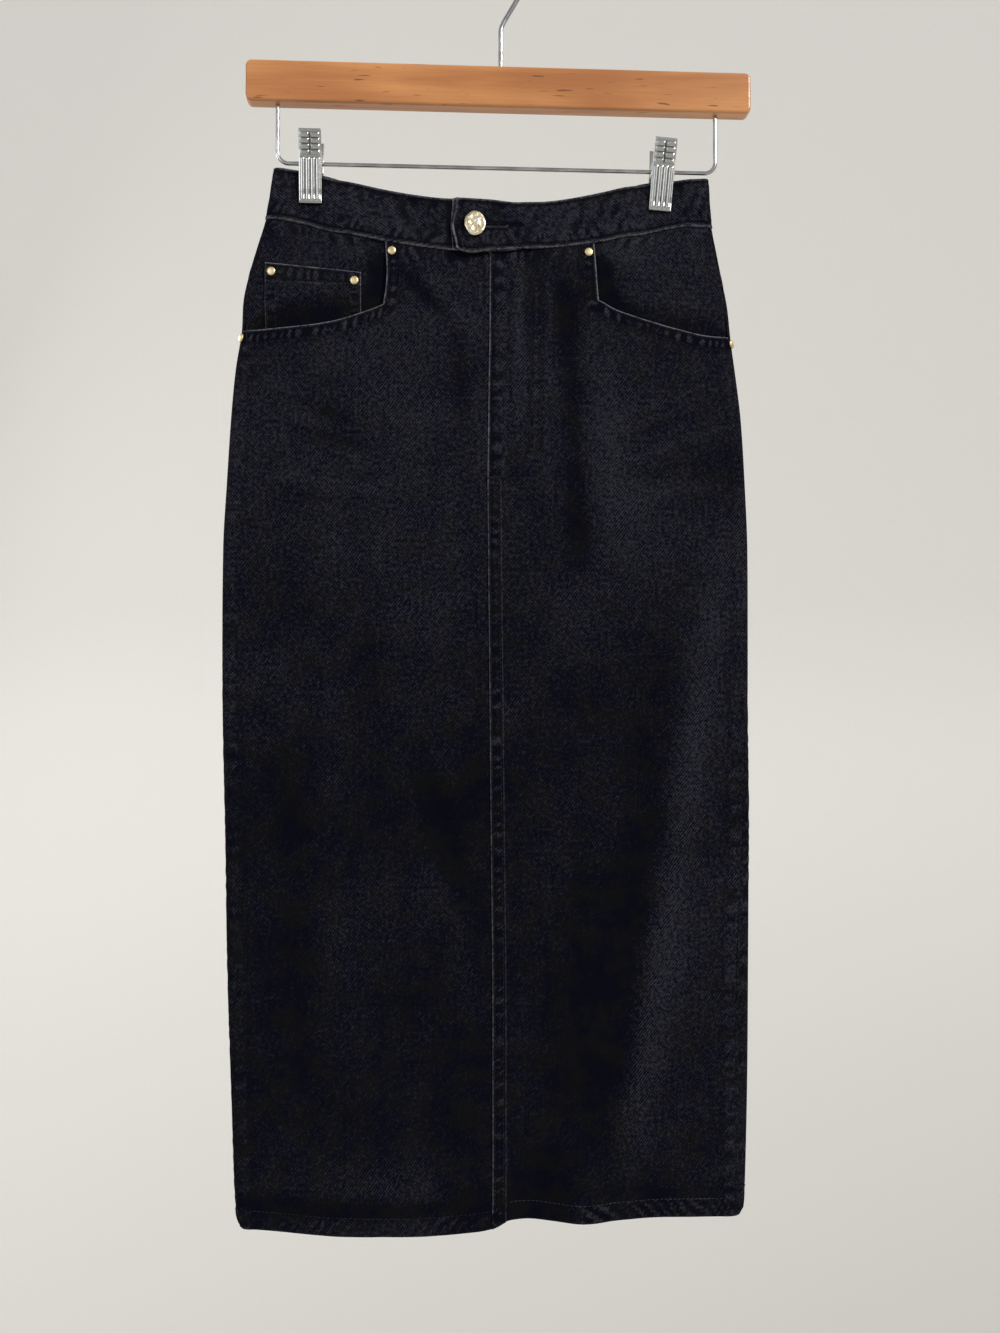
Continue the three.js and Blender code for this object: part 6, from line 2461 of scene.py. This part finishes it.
@dataclass
class Sewing:
    """Every row of stitches on the skirt, each made of real stitches."""

    form: SkirtForm
    finishes: Finishes
    outside: float = -0.02
    sample: float = 2.0
    pitch: float = 3.1
    length: float = 2.35
    tack_thread: float = 0.24
    tack_pitch: float = 0.42
    foot: float = -905.0
    band_middle: float = -190.0

    @staticmethod
    def _at(place: float, along: Array, values: Array) -> Array:
        """The value at a place along a path."""
        return np.array([np.interp(place, along, part) for part in values.T])

    def sew(self, name: str, runs: Iterable[Run], thread: bpy.types.Material | None = None) -> Piece:
        """Makes the stitches of some rows as one piece.

        Args:
            name: of the piece.
            runs: the rows.
            thread: its finish, or None for the tonal one.

        Returns:
            The piece.
        """
        made = Stitches(capped=True)
        draw = np.random.default_rng(sum(map(ord, name)))
        for run in runs:
            path = self.form.point(run.side, run.girth, run.z, run.offset)
            out = self.form.normal(run.side, run.girth, run.z)
            along = distances(path)
            for middle in np.arange(self.pitch / 2, along[-1] - self.length / 2, self.pitch):
                reach = self.length / 2 * draw.uniform(0.92, 1.04)
                first, last = (self._at(middle + end * reach, along, path) for end in (-1, 1))
                wide, shift = HALF_THREAD * draw.uniform(0.9, 1.1), draw.uniform(-0.35, 0.35)
                normal = self._at(middle, along, out)
                made.stitch((first + last) / 2, (last - first) / 2, normal, wide, HALF_THREAD, shift)
        return settle(made.build(name), thread or self.finishes.thread, "denim")

    def bar_tack(self, name: str, side: Side, girth: float, z: float, offset: float,
                 reach: tuple[float, float], width: float) -> Piece:
        """Sews a dense zigzag of thread.

        Args:
            name: of the piece.
            side: which half of the skirt.
            girth: of its middle.
            z: of its middle.
            offset: how far out it lies.
            reach: half its length round the skirt and up it.
            width: of the zigzag.

        Returns:
            The piece.
        """
        long = math.hypot(*reach)
        across = np.array([-reach[1], reach[0]]) / long * width / 2
        made = Stitches()
        for k, share in enumerate(np.linspace(-1, 1, max(6, int(2 * long / self.tack_pitch)))):
            ends = np.array([-1.0, 1.0]) if k % 2 else np.array([1.0, -1.0])
            g = girth + share * reach[0] + across[0] * ends
            h = z + share * reach[1] + across[1] * ends
            first, last = self.form.point(side, g, h, offset)
            normal = self.form.normal(side, g, h)[0]
            made.stitch((first + last) / 2, (last - first) / 2, normal, self.tack_thread, self.tack_thread)
        return settle(made.build(name), self.finishes.thread, "denim")

    def _span(self, low: float, high: float) -> Array:
        """Even samples between two places."""
        return np.linspace(low, high, max(4, int(abs(high - low) / self.sample)))

    def _run(self, side: Side, girth: Any, z: Any, offset: Any) -> Run:
        """A row from its path, each part an array or a number."""
        return Run(side, *(np.array(part, float) for part in np.broadcast_arrays(girth, z, offset)))

    def _seam(self, side: Side, z: float) -> float:
        """Girth of the side seam at one height."""
        return one(lambda at: self.form.side_seam(side, at), z)

    def _whole(self, side: Side, z: float) -> float:
        """Girth of the centre back at one height."""
        return one(lambda at: self.form.half(side, at).whole, z)

    def pockets(self, side: Side) -> list[Run]:
        """Two rows round a pocket's opening.

        Args:
            side: which half.

        Returns:
            The rows.
        """
        form, runs = self.form, []
        for off in POCKET_ROWS:
            z = self._span(-221.5, one(form.pocket_line[side], 78.0) - off)
            runs.append(self._run(side, form.pocket_side[side](z) - off, z, self.outside))
            start = one(form.pocket_side[side], -266.0) - off + 2
            g = self._span(start, self._seam(side, -288.0) - 1.0)
            runs.append(self._run(side, g, form.pocket_line[side](g) - off, self.outside))
        return runs

    def centre(self) -> list[Run]:
        """Two rows down the felled centre seam, and the fly's rows above it."""
        z = self._span(FLY_BOTTOM - 3, self.foot)
        runs = [self._run(Side.RIGHT, off, z, FELL_PROUD + self.outside) for off in FELL_ROWS]
        bend = np.linspace(0, math.pi / 2, 22)
        for off in FLY_ROWS:
            z = self._span(-229.0, FLY_TURN)
            runs.append(self._run(Side.RIGHT, off, z, FLY_PROUD + self.outside - 0.05))
            foot = FLY_TURN - off * (FLY_TURN - FLY_BOTTOM) / FLY_WIDTH * np.sin(bend)
            runs.append(self._run(Side.RIGHT, 2 + (off - 2) * np.cos(bend), foot, FLY_PROUD + 0.1))
        z = self._span(-230.0, FLY_BOTTOM + 3)
        return [*runs, self._run(Side.RIGHT, FELL_ROWS[0], z, FELL_PROUD + self.outside)]

    def coin(self) -> list[Run]:
        """Rows on the coin pocket's hem and sides."""
        form = self.form

        def lay(girth: Array, z: Array, hem: float) -> Run:
            """A row on the coin pocket."""
            girth, z = np.broadcast_arrays(girth, z)
            lift = form.facing_offset(Side.LEFT, girth, z) + GAP + COIN.thick + hem
            return self._run(Side.LEFT, girth, z, lift + self.outside)

        g = self._span(COIN.near + 1.5, COIN.far - 1.5)
        runs = [lay(g, COIN.top(g) - off, COIN.hem_thick) for off in COIN_ROWS]
        near, far = COIN.side_rows
        for girth in (COIN.near + near, COIN.near + far, COIN.far - near, COIN.far - far):
            z = self._span(one(COIN.top, girth) - 11.5, one(form.pocket_line[Side.LEFT], girth) - 4)
            runs.append(lay(np.array(girth), z, 0.0))
        return runs

    def band(self, side: Side, face: Face) -> list[Run]:
        """Rows along the waistband's edges, and across the tab's end.

        Args:
            side: which half.
            face: front or back.

        Returns:
            The rows.
        """
        form, runs = self.form, []
        seam = self._seam(side, self.band_middle)
        on_tab = side is Side.RIGHT and face is Face.FRONT
        if face is Face.FRONT:
            start = (TAB_END if on_tab else UNDERLAP_END) - float(form.seam(self.band_middle))
            g = self._span(side.value * start + 2.4, seam - 1.5)
        else:
            g = self._span(seam + 2.0, self._whole(side, self.band_middle) - 0.5)
        top = form.top_height(side, g) - Waistband.stitch_top
        low = form.seam_height(side, g) + GAP / 2 + Waistband.stitch_low
        for z in (top, low):
            lift = form.tab_lift(g, z) if on_tab else 0.0
            runs.append(self._run(side, g, z, BAND_PROUD + lift - 0.08))
        if on_tab:
            z = self._span(float(top[0]) - 1, float(low[0]) + 1)
            girth = Waistband.tab_crest(z) + Waistband.stitch_end - form.seam(z)
            runs.append(self._run(side, girth, z, BAND_PROUD + TAB_LIFT - 0.08))
        return runs

    def hem(self, side: Side) -> list[Run]:
        """The hem's row, on the front and on the back.

        Args:
            side: which half.

        Returns:
            The two stretches of the row.
        """
        seam, whole = self._seam(side, self.foot), self._whole(side, self.foot)
        starts = (12.0, 2.0) if side is Side.RIGHT else (2.0, 12.0)
        runs = []
        for low, high in ((starts[0], seam - 1.5), (seam + 2.0, whole - starts[1])):
            g = self._span(low, high)
            runs.append(self._run(side, g, self.form.hem_height(side, g) + HEM_ROW, self.outside))
        return runs

    def yoke(self, side: Side) -> list[Run]:
        """Two rows along the yoke's lower edge.

        Args:
            side: which half.

        Returns:
            The rows.
        """
        form, middle = self.form, -260.0
        start = one(lambda z: form.half(side, z).flat + form.half(side, z).turn, middle) - 4
        g = self._span(start, self._whole(side, middle) - (11.0 if side is Side.LEFT else 2.0))
        seam = form.yoke_line(side, g) + GAP / 2
        return [self._run(side, g, seam + off, 0.35 + self.outside) for off in YOKE_ROWS]

    def centre_back(self) -> list[Run]:
        """Two rows down the felled centre back seam."""
        z = self._span(-226.0, self.foot)
        edge = self.form.half(Side.LEFT, z).whole - GAP / 2
        return [self._run(Side.LEFT, edge - off, z, FELL_PROUD + self.outside) for off in FELL_ROWS]

    def buttonhole(self) -> Piece:
        """Close stitches along the lower lip of the buttonhole and round its end."""
        form, made = self.form, Stitches()
        seam, end = float(form.seam(BUTTON.z)), BUTTON.hole_end
        lip = np.arange(BUTTON.x + 3.5, end + 0.3, self.tack_pitch)
        spots = [(x, BUTTON.z - 1.35, 0.0, -1.0) for x in lip]
        for turn in np.linspace(-1.4, 0.1, 6):
            dx, dz = math.cos(turn), math.sin(turn)
            spots.append((end + 1.2 * dx, BUTTON.z + 1.2 * dz, dx, dz))
        for x, z, dx, dz in spots:
            girth, height = np.array([x - seam]), np.array([z])
            lift = form.tab_lift(girth, height) + BAND_PROUD - 0.1
            middle = form.point(Side.RIGHT, girth, height, lift)[0]
            half = np.array([dx, 0.0, dz]) * 0.95
            made.stitch(middle, half, form.normal(Side.RIGHT, girth, height)[0], 0.23, 0.26)
        return settle(made.build("stitches_buttonhole"), self.finishes.grey_thread, "waistband_denim")

    def build(self) -> list[Piece]:
        """Sews everything."""
        made = []
        for side in Side:
            hem_thread = self.finishes.grey_thread if side is Side.RIGHT else None
            made += [
                self.sew(f"stitches_pocket_{side.label}", self.pockets(side)),
                self.sew(f"stitches_hem_{side.label}", self.hem(side), hem_thread),
                self.sew(f"stitches_yoke_{side.label}", self.yoke(side)),
                self.sew(f"stitches_band_front_{side.label}", self.band(side, Face.FRONT)),
                self.sew(f"stitches_band_back_{side.label}", self.band(side, Face.BACK)),
            ]
        made += [
            self.sew("stitches_centre_front", self.centre()),
            self.sew("stitches_coin_pocket", self.coin()),
            self.sew("stitches_centre_back", self.centre_back()),
            self.bar_tack("tack_fly_bottom", Side.RIGHT, 6.5, FLY_BOTTOM, FELL_PROUD + 0.05, (6.5, 0.3), 2.0),
            self.bar_tack("tack_fly_side", Side.RIGHT, 33.4, -366.0, FLY_PROUD, (0.6, 5.5), 1.8),
        ]
        for side, z in ((Side.LEFT, -284.0), (Side.RIGHT, -283.6)):
            girth = self._seam(side, z) - 3.4
            name = f"tack_pocket_{side.label}"
            made.append(self.bar_tack(name, side, girth, z - 5.4, 0.05, (0.2, 4.6), 1.6))
        return [*made, self.buttonhole()]


@dataclass
class Studio:
    """The camera, the lights, the floor and the backdrop."""

    eye: Triple = (-41.0, -800.0, -542.7)
    yaw: float = 2.9
    pitch: float = 1.26
    lens: float = 30.0
    floor: float = -1750.0
    wall: float = 2600.0
    reach: float = 12000.0
    bend: float = 1500.0
    panel_size: float = 0.9

    def camera(self) -> None:
        """Sets the camera where the photograph's was."""
        data = bpy.data.cameras.new("camera")
        data.lens = self.lens
        data.sensor_width = 36.0
        data.clip_start, data.clip_end = 0.01, 50.0
        made = bpy.data.objects.new("camera", data)
        yaw, pitch = math.radians(self.yaw), math.radians(self.pitch)
        forward = Vector((math.sin(yaw) * math.cos(pitch), math.cos(yaw) * math.cos(pitch), math.sin(pitch)))
        made.location = Vector(self.eye) * MM
        made.rotation_mode = "QUATERNION"
        made.rotation_quaternion = forward.to_track_quat("-Z", "Y")
        bpy.context.scene.collection.objects.link(made)
        bpy.context.scene.camera = made

    @staticmethod
    def _light(name: str, kind: str, toward: Vector, power: float, colour: Colour) -> Piece:
        """Adds a light.

        Args:
            name: of the light.
            kind: Blender's word for its kind.
            toward: the way it shines.
            power: of the light.
            colour: of the light.

        Returns:
            The light.
        """
        data = bpy.data.lights.new(name, kind)
        data.energy = power
        data.color = colour
        made = bpy.data.objects.new(name, data)
        made.rotation_mode = "QUATERNION"
        made.rotation_quaternion = toward.to_track_quat("-Z", "Y")
        bpy.context.scene.collection.objects.link(made)
        return made

    def _panel(self, name: str, place: Triple, power: float, colour: Colour) -> None:
        """Adds a soft square light that looks at the skirt.

        Args:
            name: of the light.
            place: of the light.
            power: of the light.
            colour: of the light.
        """
        skirt, source = Vector((0.0, 0.0, -520.0)) * MM, Vector(place) * MM
        made = self._light(name, "AREA", skirt - source, power, colour)
        made.data.size = self.panel_size
        made.visible_camera = False
        made.location = source

    def _sun(self, name: str, source: Triple, angle: float, power: float, colour: Colour) -> None:
        """Adds an even light from far off, softened over an angle in degrees."""
        made = self._light(name, "SUN", -Vector(source), power, colour)
        made.data.angle = math.radians(angle)

    def _room(self) -> None:
        """Makes the floor and the far wall as one bent sheet."""
        r, z, bend = self.reach, self.floor, self.bend
        y = self.wall - bend
        turn = np.linspace(0.05, math.pi / 2, 32)
        profile = [(-r, z), (y, z), *((y + bend * math.sin(a), z + bend - bend * math.cos(a)) for a in turn)]
        profile.append((self.wall, r))
        points = np.array([(x, py, pz) for py, pz in profile for x in (-r, r)])
        faces = [[2 * k, 2 * k + 1, 2 * k + 3, 2 * k + 2] for k in range(len(profile) - 1)]
        room = add_object("studio_backdrop", points, faces)
        room.data.materials.append(PaintFinish("pale_paint").make())

    def _world(self) -> None:
        """A plain soft surrounding light."""
        world = bpy.data.worlds.new("studio")
        world.use_nodes = True
        background = world.node_tree.nodes["Background"]
        background.inputs["Color"].default_value = (0.95, 0.97, 1.0, 1.0)
        background.inputs["Strength"].default_value = 0.42
        bpy.context.scene.world = world

    def build(self) -> None:
        """Sets up the studio."""
        self.camera()
        self._room()
        self._world()
        self._sun("key", (1.0, -0.95, 0.85), 14.0, 2.55, (1.0, 0.975, 0.93))
        self._sun("rear", (-0.7, 1.0, 0.5), 40.0, 0.7, (0.95, 0.97, 1.0))
        self._panel("fill", (-1300.0, -1500.0, 300.0), 9.0, (0.92, 0.95, 1.0))
        self._panel("back", (-2200.0, 1300.0, 300.0), 22.0, (1.0, 0.98, 0.95))
        bpy.context.scene.view_settings.view_transform = "Standard"


def main() -> None:
    """Builds the studio and every piece in order, and reports each one."""
    logging.basicConfig(level=logging.INFO, format="%(message)s")
    Studio().build()
    form = SkirtForm()
    finishes = Finishes()
    makers: list[Any] = [FrontPanel(form, finishes, side) for side in Side]
    makers += [Pocket(form, finishes, side) for side in Side]
    makers += [Back(form, finishes, side) for side in Side]
    makers += [Waistband(form, finishes), FlyZip(form, finishes), Trim(form, finishes), Hanger(finishes)]
    makers += [Clip(finishes, place) for place in CLIPS]
    makers.append(Sewing(form, finishes))
    total = 0
    for maker in makers:
        for piece in maker.build():
            piece.data.calc_loop_triangles()
            count = len(piece.data.loop_triangles)
            total += count
            LOG.info("%s: %d triangles", piece.name, count)
    LOG.info("all pieces: %d triangles", total)


if __name__ == "__main__":
    main()
